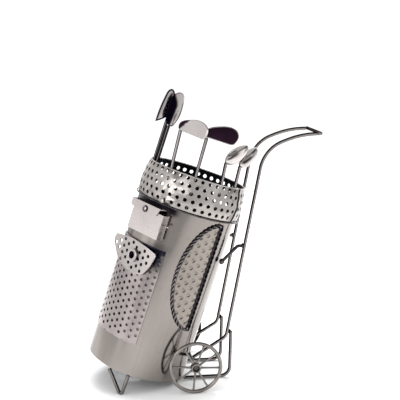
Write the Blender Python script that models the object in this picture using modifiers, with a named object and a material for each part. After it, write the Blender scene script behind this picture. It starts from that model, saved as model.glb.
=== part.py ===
"""A holder of sheet steel and wire: an open golf bag that leans back on a two-wheeled trolley.

Metres, +Z up, +X towards the trolley's grip. The origin is on the floor, under the middle of the
object's length and width. The bag has a frame of its own: local +Z runs up the bag's axis, and an
angle round the bag starts at its front (-X) and grows towards -Y.
"""
from math import asin, atan2, ceil, cos, floor, pi, radians, sin, sqrt, tan

import bmesh
import bpy
from mathutils import Matrix, Vector
from mathutils.geometry import delaunay_2d_cdt

# Clearance between pieces that touch, and the stock that everything is made of
SEAT_GAP = 0.0003
WIRE_DIAMETER = 0.0030
SHEET_THICKNESS = 0.0010

# Bag: a rolled tube that leans back, with a perforated collar round its top
BAG_LEAN = radians(18.5)
BAG_RADIUS = 0.0436
BAG_FLOOR_CLEARANCE = 0.0003
AXLE_TO_BAG_BASE = 0.0452
BASE_PLATE_HOLE_RADIUS = 0.0120
COLLAR_BOTTOM_HEIGHT = 0.1465
COLLAR_HEIGHT = 0.0306
COLLAR_LAP = 0.0035
COLLAR_TAPER = 0.0006
COLLAR_BULGE = 0.0019
COLLAR_SEAM_ANGLE = radians(140.2)
COLLAR_SEAM_GAP = 0.0005
COLLAR_HOLE_DIAMETER = 0.0032
COLLAR_HOLE_PITCH = 0.0068
COLLAR_TOP_ROW_DROP = 0.0022
COLLAR_BEAD_DIAMETER = 0.0014
HOLE_EDGE_MARGIN = 0.0005

# Small pocket: a box with a lid, high on the front
SMALL_POCKET_ANGLE = radians(42)
SMALL_POCKET_WIDTH = 0.0330
SMALL_POCKET_HEIGHT = 0.0208
SMALL_POCKET_DEPTH = 0.0084
SMALL_POCKET_OFFSET = 0.0012
COLLAR_TO_LID = 0.0022
LID_TO_TRAY = 0.0042
TRAY_TO_LARGE_POCKET = 0.0088
LID_WIDTH = 0.0316
LID_DROP = 0.0066
LID_CHAMFER = 0.0030
LID_OFFSET = -0.0033
POCKET_RIVET_DIAMETER = 0.0060
POCKET_RIVET_DEPTH = 0.0010
RIVET_HEIGHT_SHARE = 0.3
POCKET_PIN_DIAMETER = 0.0016
POCKET_PIN_LENGTH = 0.0045
POCKET_PIN_DROP = 0.0080

# Large pocket: a perforated panel round the bag, under a stiff perforated flap with a ring
LARGE_POCKET_ANGLE = radians(35)
LARGE_POCKET_ARC = radians(72)
LARGE_POCKET_HEIGHT = 0.0835
LARGE_POCKET_HOLE_DIAMETER = 0.0028
LARGE_POCKET_HOLE_PITCH = 0.0059
FLAP_WIDTH = 0.0514
FLAP_OFFSET = -0.0010
FLAP_HEIGHT = 0.0266
# The flap's outline, anticlockwise: X in flap widths from its middle, Y in flap heights from its top
FLAP_PROFILE = (
    (-0.490, -0.132), (-0.500, -0.274), (-0.479, -0.383), (-0.440, -0.485), (-0.395, -0.586),
    (-0.339, -0.711), (-0.278, -0.808), (-0.204, -0.891), (-0.097, -0.966), (0.019, -1), (0.156, -0.996),
    (0.253, -0.974), (0.323, -0.929), (0.381, -0.823), (0.420, -0.699), (0.457, -0.553), (0.479, -0.410),
    (0.490, -0.282), (0.500, -0.169), (0.484, -0.117), (0.422, -0.086), (0.290, -0.053),
    (0.160, -0.030), (0.027, -0.008), (-0.107, 0), (-0.253, -0.030), (-0.471, -0.098))
FLAP_HOLE_COLUMNS = 9
FLAP_HOLES_PER_COLUMN = 5
FLAP_RING_OFFSET = 0.0019
FLAP_RING_DROP = 0.0127
FLAP_RING_DIAMETER = 0.0118
FLAP_RING_HOLE_DIAMETER = 0.0066
FLAP_RING_THICKNESS = 0.0020

# Side pocket: a D-shaped panel with a rope sewn round it
SIDE_POCKET_REAR_ANGLE = radians(126)
SIDE_POCKET_ARC = radians(37.5)
COLLAR_TO_SIDE_POCKET = 0.0025
SIDE_POCKET_LENGTH = 0.0950
ROPE_DIAMETER = 0.0024

# Front foot: a bent wire under the bag's near side
FOOT_FRONT_ANGLE = radians(50)
FOOT_REAR_ANGLE = radians(74)
FOOT_TIP_X = -0.0633
FOOT_TIP_Y = -0.0395
FOOT_BEND_RADIUS = 0.0019

# Wheels
WHEEL_RADIUS = 0.02305
WHEEL_TRACK = 0.0970
WHEEL_RIM_DIAMETER = 0.0032
HUB_DIAMETER = 0.0084
HUB_LENGTH = 0.0054
HUB_RECESS_DIAMETER = 0.0054
HUB_RECESS_DEPTH = 0.0024
SPOKE_DIAMETER = 0.0016
SPOKE_ANGLES = tuple(radians(a) for a in (-4, 32, 70, 120, 174, 214, 264, 300))
AXLE_HEAD_DIAMETER = 0.0042
AXLE_HEAD_LENGTH = 0.0009
AXLE_COLLAR_DIAMETER = 0.0052
AXLE_COLLAR_LENGTH = 0.0010

# Trolley: two long rails, a grip bar, two legs and two struts, all of the same wire
RAIL_HALF_SPREAD = 0.0195
RAIL_FOOT_X = 0.0323
RAIL_FOOT_Z = 0.0382
RAIL_LEAN = radians(11.0)
RAIL_SHOULDER_Z = 0.2042
RAIL_BROW_X = 0.0972
RAIL_FOOT_BEND_RADIUS = 0.0080
RAIL_SHOULDER_BEND_RADIUS = 0.0300
RAIL_BROW_BEND_RADIUS = 0.0750
GRIP_X = 0.1150
GRIP_Z = 0.2160
GRIP_OVERHANG = 0.0018
GRIP_ELBOW_RADIUS = 0.0022
LEG_WELD_Z = 0.0430
LEG_TOE_RISE = 0.0008
LEG_LEAN = 0.0010
LEG_BEND_RADIUS = 0.0080
STRUT_RAIL_Z = 0.1200
STRUT_BAG_ANGLE = radians(145)
STRUT_BAG_HEIGHT = 0.1126
STRUT_LEVEL_RUN = 0.0040
STRUT_BEND_RADIUS = 0.0030
STRUT_BALL_DIAMETER = 0.0052

# Clubs: six wires inside the collar, each with its own head. Angles are in degrees round the bag.
# A blade has an angle and the rise of its shaft's top above the collar.
# An iron has an angle at the rim, an angle at its top, the rise of its sole above the collar and its length.
# A wood has an angle at the rim, an angle at its top and the rise of its shaft's top above the collar.
BLADES = ((0, 0.0369), (13.7, 0.0318))
IRONS = ((43.5, 39.0, 0.0321, 0.0317), (75.8, 73.9, 0.0335, 0.0284))
WOODS = ((108.8, 105.6, 0.0189), (132.1, 128.7, 0.0189))
CLUB_DEPTH = 0.0300
IRON_HEAD_HEIGHT = 0.0135
IRON_HEEL_LENGTH = 0.0034
IRON_PROFILE = ((0.03, 0), (0, 0.46), (0.085, 0.62), (0.25, 0.77), (0.45, 0.92), (0.58, 0.985), (0.68, 1),
                (0.80, 0.96), (0.89, 0.86), (0.96, 0.70), (1, 0.48), (0.985, 0.24), (0.92, 0.02))
HEAD_THICKNESS = 0.0014
BLADE_LENGTH = 0.0290
# Each blade's outline in blade lengths, from the end of its shaft: X back and Y up
BLADE_PROFILES = (
    ((-0.37, -0.09), (-0.34, 0.04), (-0.25, 0.28), (-0.12, 0.54), (-0.01, 0.74), (0.07, 0.84), (0.15, 0.85),
     (0.22, 0.76), (0.23, 0.59), (0.17, 0.36), (0.09, 0.15), (0.02, 0.00)),
    ((0.11, -0.02), (0.02, -0.01), (-0.07, 0.11), (-0.08, 0.31), (-0.02, 0.55), (0.07, 0.78), (0.20, 0.91),
     (0.34, 0.95), (0.43, 0.88), (0.45, 0.69), (0.39, 0.42), (0.29, 0.20)))
WOOD_LENGTH = 0.0240
WOOD_WIDTH = 0.0112
WOOD_THICKNESS = 0.0090
WOOD_SLANT = radians(40)
WOOD_CENTRE_SHARE = 0.42

# Facets
SHELL_SEGMENTS = 48
ROUND_SEGMENTS = 20
RIVET_SEGMENTS = 14
WIRE_SIDES = 10
RIM_SEGMENTS = 36
HEAD_SEGMENTS = 14
HEAD_RINGS = 8
WIRE_BEVEL_SEGMENTS = 2
BEAD_BEVEL_SEGMENTS = 1
BEND_STEP = radians(12)
HOLE_SIDES = 6
SMALL_HOLE_SIDES = 4
SLICE_WIDTH = 0.0050
SIDE_POCKET_STEPS = 18
FOOT_SETTLING_STEPS = 6

# Places that follow from the sizes above
WIRE_RADIUS = WIRE_DIAMETER / 2
BAG_BASE_Z = BAG_RADIUS * sin(BAG_LEAN) + BAG_FLOOR_CLEARANCE
BAG_TOP_HEIGHT = COLLAR_BOTTOM_HEIGHT + COLLAR_HEIGHT
BAG_SHELL_LENGTH = COLLAR_BOTTOM_HEIGHT + COLLAR_LAP
COLLAR_TOP_RADIUS = BAG_RADIUS - COLLAR_TAPER
LID_HEIGHT = COLLAR_BOTTOM_HEIGHT - COLLAR_TO_LID
TRAY_TOP = LID_HEIGHT - LID_TO_TRAY
TRAY_BOTTOM = TRAY_TOP - SMALL_POCKET_HEIGHT
LARGE_POCKET_TOP = TRAY_BOTTOM - TRAY_TO_LARGE_POCKET
SMALL_POCKET_FACE = BAG_RADIUS + SMALL_POCKET_DEPTH
SIDE_POCKET_MIDDLE_HEIGHT = COLLAR_BOTTOM_HEIGHT - COLLAR_TO_SIDE_POCKET - SIDE_POCKET_LENGTH / 2
BAG_INNER_RADIUS = BAG_RADIUS - SHEET_THICKNESS
BAG_FRONT_X = -AXLE_TO_BAG_BASE - BAG_RADIUS * cos(BAG_LEAN)
MIDDLE_X = (BAG_FRONT_X + GRIP_X + WIRE_RADIUS) / 2
CLUB_RADIUS = COLLAR_TOP_RADIUS - SHEET_THICKNESS - SEAT_GAP - WIRE_RADIUS

COLORS = {
    "bag_steel": ((0.36, 0.33, 0.30), 0.28),
    "bright_steel": ((0.62, 0.60, 0.58), 0.16),
    "trolley_steel": ((0.32, 0.31, 0.29), 0.30),
    "wheel_steel": ((0.36, 0.33, 0.31), 0.34),
    "dark_rope": ((0.05, 0.05, 0.06), 0.45),
}

for old in list(bpy.data.objects):
    bpy.data.objects.remove(old)


def new_collection(name, hidden=False):
    collection = bpy.data.collections.new(name)
    bpy.context.scene.collection.children.link(collection)
    collection.hide_render = hidden
    return collection


PARTS = new_collection("golf_bag_holder")
CUTTERS = new_collection("cutters", hidden=True)


def new_material(name, color, roughness):
    material = bpy.data.materials.new(name)
    material.use_nodes = True
    shader = material.node_tree.nodes["Principled BSDF"]
    shader.inputs["Base Color"].default_value = (*color, 1)
    shader.inputs["Roughness"].default_value = roughness
    shader.inputs["Metallic"].default_value = 1.0
    material.diffuse_color = (*color, 1)
    return material


MATERIALS = {name: new_material(name, *look) for name, look in COLORS.items()}


def new_frame(name, matrix, parent=None):
    """An empty that carries pieces; the matrix is in its parent's frame."""
    frame = bpy.data.objects.new(name, None)
    PARTS.objects.link(frame)
    frame.parent = parent
    frame.matrix_local = matrix
    return frame


ASSEMBLY = new_frame("assembly", Matrix.Translation((-MIDDLE_X, 0, 0)))
BAG_BASE = Vector((-AXLE_TO_BAG_BASE, 0, BAG_BASE_Z))
BAG_MATRIX = Matrix.Translation(BAG_BASE) @ Matrix.Rotation(BAG_LEAN, 4, "Y")
BAG = new_frame("bag_frame", BAG_MATRIX, ASSEMBLY)


# Shared shape tools

def mesh_object(name, bm, parent, material, place=Matrix(), smooth=True, collection=None):
    """Turns a bmesh into an object under its parent."""
    bmesh.ops.recalc_face_normals(bm, faces=bm.faces)
    if bm.calc_volume(signed=True) < 0:
        bmesh.ops.reverse_faces(bm, faces=bm.faces)
    mesh = bpy.data.meshes.new(name)
    bm.to_mesh(mesh)
    bm.free()
    obj = bpy.data.objects.new(name, mesh)
    (collection or PARTS).objects.link(obj)
    obj.parent = parent
    obj.matrix_local = place
    if material:
        mesh.materials.append(MATERIALS[material])
    if smooth:
        mesh.shade_smooth()
        mesh.set_sharp_from_angle(angle=radians(35))
    return obj


def cutter(name, bm, parent, place=Matrix()):
    obj = mesh_object(name, bm, parent, None, place, smooth=False, collection=CUTTERS)
    obj.hide_render = True
    obj.display_type = "WIRE"
    return obj


def boolean(obj, other, operation):
    modifier = obj.modifiers.new(operation.lower(), "BOOLEAN")
    modifier.operation = operation
    modifier.solver = "EXACT"
    modifier.object = other


def box(low, high):
    bm = bmesh.new()
    bmesh.ops.create_cube(bm, size=1)
    size = Vector(high) - Vector(low)
    bmesh.ops.scale(bm, vec=size, verts=bm.verts)
    bmesh.ops.translate(bm, vec=Vector(low) + size / 2, verts=bm.verts)
    return bm


def cylinder(radius, bottom, top, segments=ROUND_SEGMENTS):
    bm = bmesh.new()
    bmesh.ops.create_cone(bm, cap_ends=True, segments=segments, radius1=radius, radius2=radius,
                          depth=top - bottom)
    bmesh.ops.translate(bm, vec=(0, 0, (bottom + top) / 2), verts=bm.verts)
    return bm


def ellipsoid(length, width, thickness):
    """Length along Z, width along X and thickness along Y."""
    bm = bmesh.new()
    bmesh.ops.create_uvsphere(bm, u_segments=HEAD_SEGMENTS, v_segments=HEAD_RINGS, radius=0.5)
    bmesh.ops.scale(bm, vec=(width, thickness, length), verts=bm.verts)
    return bm


def turned(name, profile, parent, material, place=Matrix(), segments=ROUND_SEGMENTS):
    """A closed profile of (radius, height) points, turned round local Z by a Screw modifier."""
    mesh = bpy.data.meshes.new(name)
    count = len(profile)
    closed = all(radius > 0 for radius, _ in profile)
    edges = [(i, (i + 1) % count) for i in range(count if closed else count - 1)]
    mesh.from_pydata([(radius, 0, height) for radius, height in profile], edges, [])
    mesh.materials.append(MATERIALS[material])
    obj = bpy.data.objects.new(name, mesh)
    PARTS.objects.link(obj)
    obj.parent = parent
    obj.matrix_local = place
    screw = obj.modifiers.new("turn", "SCREW")
    screw.axis = "Z"
    screw.angle = 2 * pi
    screw.steps = segments
    screw.render_steps = segments
    screw.use_merge_vertices = True
    screw.merge_threshold = 0.00001
    screw.use_smooth_shade = False
    return obj


def rounded(corners, radius):
    """The corners of a wire with each inner corner turned into an arc; a corner may be (point, radius)."""
    route = []
    points = [Vector(c[0]) if isinstance(c[0], (tuple, Vector)) else Vector(c) for c in corners]
    radii = [c[1] if isinstance(c[0], (tuple, Vector)) else radius for c in corners]
    for i, point in enumerate(points):
        if i in (0, len(points) - 1):
            route.append(point)
            continue
        back = (points[i - 1] - point).normalized()
        ahead = (points[i + 1] - point).normalized()
        half = back.angle(ahead) / 2
        centre = point + (back + ahead).normalized() * (radii[i] / sin(half))
        start = point + back * (radii[i] / tan(half)) - centre
        turn = pi - 2 * half
        axis = back.cross(ahead).normalized() * -1
        steps = max(2, ceil(turn / BEND_STEP))
        route += [centre + Matrix.Rotation(turn * s / steps, 3, axis) @ start for s in range(steps + 1)]
    return route


def wire(name, route, diameter, parent, material, closed=False, swell=None, bevel=WIRE_BEVEL_SEGMENTS):
    """A round wire along a route; swell gives the radius factor of each of its last points."""
    data = bpy.data.curves.new(name, "CURVE")
    data.dimensions = "3D"
    data.bevel_depth = diameter / 2
    data.bevel_resolution = bevel
    data.use_fill_caps = not closed
    spline = data.splines.new("POLY")
    spline.points.add(len(route) - 1)
    for point, place in zip(spline.points, route):
        point.co = (*place, 1)
    for i, factor in enumerate(reversed(swell or ())):
        spline.points[-1 - i].radius = factor
    spline.use_cyclic_u = closed
    spline.use_smooth = True
    data.materials.append(MATERIALS[material])
    obj = bpy.data.objects.new(name, data)
    PARTS.objects.link(obj)
    obj.parent = parent
    return obj


def flat_sheet(outline, holes, thickness):
    """A bmesh of a flat outline with convex holes, its thickness centred on z = 0."""
    loops = [outline, *holes]
    points = [Vector(point) for loop in loops for point in loop]
    owners = [number for number, loop in enumerate(loops) for _ in loop]
    edges = []
    for loop in loops:
        first = len(edges)
        edges += [(first + i, first + (i + 1) % len(loop)) for i in range(len(loop))]
    points, _, triangles, *_ = delaunay_2d_cdt(points, edges, [], 1, 1e-7)
    bm = bmesh.new()
    verts = [bm.verts.new((point.x, point.y, -thickness / 2)) for point in points]
    for triangle in triangles:
        loops_touched = {owners[i] for i in triangle}
        if len(loops_touched) > 1 or 0 in loops_touched:
            bm.faces.new([verts[i] for i in triangle])
    raised = bmesh.ops.extrude_face_region(bm, geom=bm.faces[:])["geom"]
    lifted = [item for item in raised if isinstance(item, bmesh.types.BMVert)]
    bmesh.ops.translate(bm, vec=(0, 0, thickness), verts=lifted)
    return bm


def slice_at(bm, stations):
    """Cuts a flat sheet across at each station, so that it can be rolled without flats."""
    for station in stations:
        geometry = [*bm.verts, *bm.edges, *bm.faces]
        bmesh.ops.bisect_plane(bm, geom=geometry, plane_co=(station, 0, 0), plane_no=(1, 0, 0))


def around_bag(angle, radius, height):
    return Vector((-radius * cos(angle), -radius * sin(angle), height))


def roll(bm, angle, flat_radius, radius_at):
    """Rolls a flat sheet round the bag: x turns into arc length, y is height, z is depth."""
    for vert in bm.verts:
        x, y, z = vert.co
        vert.co = around_bag(angle + x / flat_radius, radius_at(y) + z, y)


def tangent_place(angle, reach, across=0.0, height=0.0):
    """A frame that touches a circle round the bag: X along the turn, Y up the bag, Z outward."""
    outward = Vector((-cos(angle), -sin(angle), 0))
    along = Vector((sin(angle), -cos(angle), 0))
    up = Vector((0, 0, 1))
    place = Matrix((along, up, outward)).transposed().to_4x4()
    place.translation = outward * reach + along * across + up * height
    return place


def ring_points(x, y, radius, sides, turn=0.0):
    return [(x + radius * cos(turn + 2 * pi * i / sides), y + radius * sin(turn + 2 * pi * i / sides))
            for i in range(sides)]


def holes_across(width, diameter, pitch):
    """How many holes fit side by side in a width, clear of its edges."""
    return floor((width - diameter - 2 * HOLE_EDGE_MARGIN) / pitch) + 1


def staggered(columns, count, pitch):
    """Centres (x, y) of holes in upright columns, packed like bricks round the origin."""
    step = pitch * sin(pi / 3)
    middle = (columns - 1) / 2
    centre = (count - 1) / 2 + 0.25
    return [((column - middle) * step, (place - centre + 0.5 * (column % 2)) * pitch)
            for column in range(columns) for place in range(count)]


def edge_points(start, end, step):
    """Points from start towards end, without the end, at most a step apart."""
    start = Vector(start)
    end = Vector(end)
    count = max(1, ceil((end - start).length / step))
    return [tuple(start.lerp(end, i / count)) for i in range(count)]


def outline_of(corners, step):
    return [point for i, corner in enumerate(corners)
            for point in edge_points(corner, corners[(i + 1) % len(corners)], step)]


# Bag shell and its base plate

def tube_profile(outer, inner, bottom, top):
    return [(outer, top), (outer, bottom), (inner, bottom), (inner, top)]


bag_shell = turned("bag_shell", tube_profile(BAG_RADIUS, BAG_INNER_RADIUS, 0, BAG_SHELL_LENGTH),
                   BAG, "bag_steel", segments=SHELL_SEGMENTS)
axle_place = BAG_MATRIX.inverted() @ Matrix.Translation((0, 0, WHEEL_RADIUS)) \
    @ Matrix.Rotation(pi / 2, 4, "X")
axle_hole = cutter("axle_hole", cylinder(WIRE_RADIUS + SEAT_GAP, -BAG_RADIUS, BAG_RADIUS), BAG, axle_place)
boolean(bag_shell, axle_hole, "DIFFERENCE")
turned("base_plate", tube_profile(BAG_INNER_RADIUS - SEAT_GAP, BASE_PLATE_HOLE_RADIUS, 0, SHEET_THICKNESS),
       BAG, "bag_steel", segments=SHELL_SEGMENTS)


# Collar: a perforated strip rolled into a cone, its ends meeting at a seam, with a bead at its foot

COLLAR_BOTTOM_RADIUS = BAG_RADIUS + SEAT_GAP + SHEET_THICKNESS
COLLAR_FLAT_RADIUS = (COLLAR_TOP_RADIUS + COLLAR_BOTTOM_RADIUS - SHEET_THICKNESS) / 2 + COLLAR_BULGE


def collar_radius(height):
    """The radius of the middle of the sheet at a height above the collar's foot."""
    share = (height - COLLAR_BOTTOM_HEIGHT) / COLLAR_HEIGHT
    cone = COLLAR_BOTTOM_RADIUS + share * (COLLAR_TOP_RADIUS - COLLAR_BOTTOM_RADIUS)
    return cone + 4 * COLLAR_BULGE * share * (1 - share) - SHEET_THICKNESS / 2


def make_collar():
    length = 2 * pi * COLLAR_FLAT_RADIUS - COLLAR_SEAM_GAP
    columns = round(length / COLLAR_HOLE_PITCH) - 1
    row_step = COLLAR_HOLE_PITCH * sin(pi / 3)
    free_height = COLLAR_HEIGHT - COLLAR_TOP_ROW_DROP + COLLAR_HOLE_DIAMETER / 2
    rows = holes_across(free_height, COLLAR_HOLE_DIAMETER, row_step)
    middle_row = BAG_TOP_HEIGHT - COLLAR_TOP_ROW_DROP - row_step * (rows - 1) / 2
    centres = staggered(rows, columns, COLLAR_HOLE_PITCH)
    holes = [ring_points(x, middle_row + y, COLLAR_HOLE_DIAMETER / 2, HOLE_SIDES) for y, x in centres]
    corners = [(-length / 2, COLLAR_BOTTOM_HEIGHT), (length / 2, COLLAR_BOTTOM_HEIGHT),
               (length / 2, BAG_TOP_HEIGHT), (-length / 2, BAG_TOP_HEIGHT)]
    bm = flat_sheet(outline_of(corners, COLLAR_HOLE_PITCH / 2), holes, SHEET_THICKNESS)
    roll(bm, COLLAR_SEAM_ANGLE + pi, COLLAR_FLAT_RADIUS, collar_radius)
    mesh_object("collar", bm, BAG, "bright_steel")


make_collar()
bead_radius = COLLAR_BOTTOM_RADIUS + SEAT_GAP + COLLAR_BEAD_DIAMETER / 2
bead_height = COLLAR_BOTTOM_HEIGHT + COLLAR_BEAD_DIAMETER / 2
bead_route = [around_bag(2 * pi * i / SHELL_SEGMENTS, bead_radius, bead_height)
              for i in range(SHELL_SEGMENTS)]
wire("collar_bead", bead_route, COLLAR_BEAD_DIAMETER, BAG, "bright_steel", closed=True,
     bevel=BEAD_BEVEL_SEGMENTS)


# Small pocket: box, lid, rivet and side pin

def make_small_pocket():
    """A tray whose back only touches the bag along its middle, under a lid that reaches over it."""
    place = tangent_place(SMALL_POCKET_ANGLE, 0)
    left = SMALL_POCKET_OFFSET - SMALL_POCKET_WIDTH / 2
    right = SMALL_POCKET_OFFSET + SMALL_POCKET_WIDTH / 2
    bottom = TRAY_BOTTOM
    top = TRAY_TOP
    wall = SHEET_THICKNESS
    back = BAG_RADIUS + SEAT_GAP
    tray = mesh_object("small_pocket_tray", box((left, bottom, back), (right, top, SMALL_POCKET_FACE)),
                       BAG, "bright_steel", place, smooth=False)
    hollow = cutter("tray_hollow", box((left + wall, bottom + wall, back + wall),
                                       (right - wall, top + wall, SMALL_POCKET_FACE - wall)), BAG, place)
    boolean(tray, hollow, "DIFFERENCE")

    lid_left = LID_OFFSET - LID_WIDTH / 2 + SMALL_POCKET_OFFSET
    lid_right = lid_left + LID_WIDTH
    face = SMALL_POCKET_FACE + SEAT_GAP
    shelf = box((lid_left, LID_HEIGHT - wall, 0), (lid_right, LID_HEIGHT, face + wall / 2))
    lid = mesh_object("small_pocket_lid", shelf, BAG, "bright_steel", place, smooth=False)
    bag_room = cylinder(back, bottom, BAG_TOP_HEIGHT, SHELL_SEGMENTS)
    boolean(lid, cutter("bag_room", bag_room, BAG), "DIFFERENCE")
    drop = LID_HEIGHT - LID_DROP
    front = [(lid_left + LID_CHAMFER / 2, drop), (lid_right - LID_CHAMFER, drop), (lid_right, LID_HEIGHT),
             (lid_left, LID_HEIGHT), (lid_left, drop + LID_CHAMFER / 2)]
    apron_place = place @ Matrix.Translation((0, 0, face + wall / 2))
    boolean(lid, cutter("lid_apron", flat_sheet(front, [], wall), BAG, apron_place), "UNION")

    radius = POCKET_RIVET_DIAMETER / 2
    depth = POCKET_RIVET_DEPTH
    rivet_profile = [(0, depth * 0.6), (radius * 0.50, depth * 0.5), (radius * 0.65, depth),
                     (radius * 0.85, depth), (radius, depth * 0.5), (radius, 0), (0, 0)]
    rivet_place = tangent_place(SMALL_POCKET_ANGLE, face + wall + SEAT_GAP, (lid_left + lid_right) / 2,
                                drop + LID_DROP * RIVET_HEIGHT_SHARE)
    turned("small_pocket_rivet", rivet_profile, BAG, "bright_steel", rivet_place, RIVET_SEGMENTS)
    pin_place = place @ Matrix.Translation((right + SEAT_GAP, top - POCKET_PIN_DROP, (back + face) / 2)) \
        @ Matrix.Rotation(pi / 2, 4, "Y")
    pin = cylinder(POCKET_PIN_DIAMETER / 2, 0, POCKET_PIN_LENGTH, WIRE_SIDES)
    mesh_object("small_pocket_pin", pin, BAG, "bright_steel", pin_place)


make_small_pocket()


# Large pocket: perforated panel, perforated flap and the flap's ring

PANEL_INNER_RADIUS = BAG_RADIUS + SEAT_GAP
PANEL_OUTER_RADIUS = PANEL_INNER_RADIUS + SHEET_THICKNESS


def make_large_pocket():
    middle_radius = (PANEL_INNER_RADIUS + PANEL_OUTER_RADIUS) / 2
    half = middle_radius * LARGE_POCKET_ARC / 2
    top = LARGE_POCKET_TOP
    bottom = top - LARGE_POCKET_HEIGHT
    pitch = LARGE_POCKET_HOLE_PITCH
    hole = LARGE_POCKET_HOLE_DIAMETER / 2
    columns = holes_across(2 * half, LARGE_POCKET_HOLE_DIAMETER, pitch * sin(pi / 3))
    per_column = holes_across(LARGE_POCKET_HEIGHT - pitch / 2, LARGE_POCKET_HOLE_DIAMETER, pitch)
    centres = staggered(columns, per_column, pitch)
    holes = [ring_points(x, y + (bottom + top) / 2, hole, SMALL_HOLE_SIDES) for x, y in centres]
    outline = outline_of([(-half, bottom), (half, bottom), (half, top), (-half, top)], pitch)
    bm = flat_sheet(outline, holes, SHEET_THICKNESS)
    roll(bm, LARGE_POCKET_ANGLE, middle_radius, lambda height: middle_radius)
    mesh_object("large_pocket_panel", bm, BAG, "bright_steel")
    make_flap(top, hole, pitch)


def lies_inside(outline, x, y, margin):
    """Whether a point lies more than a margin inside a convex outline given anticlockwise."""
    point = Vector((x, y))
    for start, end in zip(outline, outline[1:] + outline[:1]):
        edge = (Vector(end) - Vector(start)).normalized()
        if edge.cross(point - Vector(start)) < margin:
            return False
    return True


def make_flap(top, hole, pitch):
    """A flat plate that touches the rolled panel along its middle."""
    reach = PANEL_OUTER_RADIUS + SEAT_GAP + SHEET_THICKNESS / 2
    corners = [(x * FLAP_WIDTH, top + y * FLAP_HEIGHT) for x, y in FLAP_PROFILE]
    ring_height = top - FLAP_RING_DROP
    ring_radius = FLAP_RING_DIAMETER / 2
    holes = [ring_points(FLAP_RING_OFFSET, ring_height, FLAP_RING_HOLE_DIAMETER / 2, 12)]
    for x, y in staggered(FLAP_HOLE_COLUMNS, FLAP_HOLES_PER_COLUMN, pitch):
        y += top - FLAP_HEIGHT / 2
        from_ring = sqrt((x - FLAP_RING_OFFSET) ** 2 + (y - ring_height) ** 2)
        if lies_inside(corners, x, y, 1.5 * hole) and from_ring > ring_radius + hole / 2:
            holes.append(ring_points(x, y, hole, SMALL_HOLE_SIDES))
    mesh_object("large_pocket_flap", flat_sheet(corners, holes, SHEET_THICKNESS), BAG, "bright_steel",
                tangent_place(LARGE_POCKET_ANGLE, reach, FLAP_OFFSET), smooth=False)
    ring_place = tangent_place(LARGE_POCKET_ANGLE, reach + SHEET_THICKNESS / 2 + SEAT_GAP,
                               FLAP_OFFSET + FLAP_RING_OFFSET, ring_height)
    profile = tube_profile(ring_radius, FLAP_RING_HOLE_DIAMETER / 2, 0, FLAP_RING_THICKNESS)
    turned("large_pocket_ring", profile, BAG, "bright_steel", ring_place)


make_large_pocket()


# Side pocket: a D-shaped panel and the rope round it

def side_pocket_outline():
    """Points (arc from the rear edge, height) round the D, from its top down its curved side."""
    half = SIDE_POCKET_LENGTH / 2
    depth = SIDE_POCKET_ARC * BAG_RADIUS
    curve = [(-depth * sin(pi * i / SIDE_POCKET_STEPS),
              SIDE_POCKET_MIDDLE_HEIGHT + half * cos(pi * i / SIDE_POCKET_STEPS))
             for i in range(SIDE_POCKET_STEPS + 1)]
    return curve + edge_points(curve[-1], curve[0], SIDE_POCKET_LENGTH / SIDE_POCKET_STEPS)[1:]


def inset_loop(loop, inset):
    """Each side of a loop moved inwards, with its corners where the moved sides cross."""
    moved = []
    for i, (x, y) in enumerate(loop):
        here = Vector((x, y))
        before = (here - Vector(loop[i - 1])).normalized()
        after = (Vector(loop[(i + 1) % len(loop)]) - here).normalized()
        inward = Vector((-before.y - after.y, before.x + after.x)).normalized()
        moved.append(tuple(here + inward * inset / inward.dot(Vector((-before.y, before.x)))))
    return moved


def make_side_pocket():
    radius = BAG_RADIUS + SEAT_GAP + SHEET_THICKNESS / 2
    outline = side_pocket_outline()
    bm = flat_sheet(inset_loop(outline, ROPE_DIAMETER / 2 + SEAT_GAP), [], SHEET_THICKNESS)
    slices = ceil(SIDE_POCKET_ARC * radius / SLICE_WIDTH)
    slice_at(bm, [-SLICE_WIDTH * i for i in range(1, slices)])
    bmesh.ops.triangulate(bm, faces=bm.faces)
    roll(bm, SIDE_POCKET_REAR_ANGLE, radius, lambda height: radius)
    mesh_object("side_pocket_panel", bm, BAG, "bright_steel")
    rope_radius = BAG_RADIUS + SEAT_GAP + ROPE_DIAMETER / 2
    route = [around_bag(SIDE_POCKET_REAR_ANGLE + x / radius, rope_radius, y) for x, y in outline]
    wire("side_pocket_rope", route, ROPE_DIAMETER, BAG, "dark_rope", closed=True)


make_side_pocket()


# Front foot

def make_front_foot():
    """A V whose two square ends stop just below the bag's rim and whose bend stands on the floor."""
    ring = BAG_RADIUS - SHEET_THICKNESS / 2
    tip = Vector((FOOT_TIP_X, FOOT_TIP_Y, WIRE_RADIUS))
    up = BAG_MATRIX.to_3x3() @ Vector((0, 0, 1))
    ends = []
    for angle in (FOOT_FRONT_ANGLE, FOOT_REAR_ANGLE):
        rim = BAG_MATRIX @ around_bag(angle, ring, 0)
        slant = (rim - tip).angle(up)
        ends.append(rim - up * (SEAT_GAP + WIRE_RADIUS * sin(slant)))
    for _ in range(FOOT_SETTLING_STEPS):
        route = rounded([ends[0], tip, ends[1]], FOOT_BEND_RADIUS)
        tip.z -= min(point.z for point in route) - WIRE_RADIUS
    wire("front_foot", route, WIRE_DIAMETER, ASSEMBLY, "trolley_steel")


make_front_foot()


# Axle and wheels

HUB_OUTER_Y = WHEEL_TRACK / 2 + HUB_LENGTH / 2
AXLE_MATRIX = Matrix.Translation((0, 0, WHEEL_RADIUS)) @ Matrix.Rotation(pi / 2, 4, "X")


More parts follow.
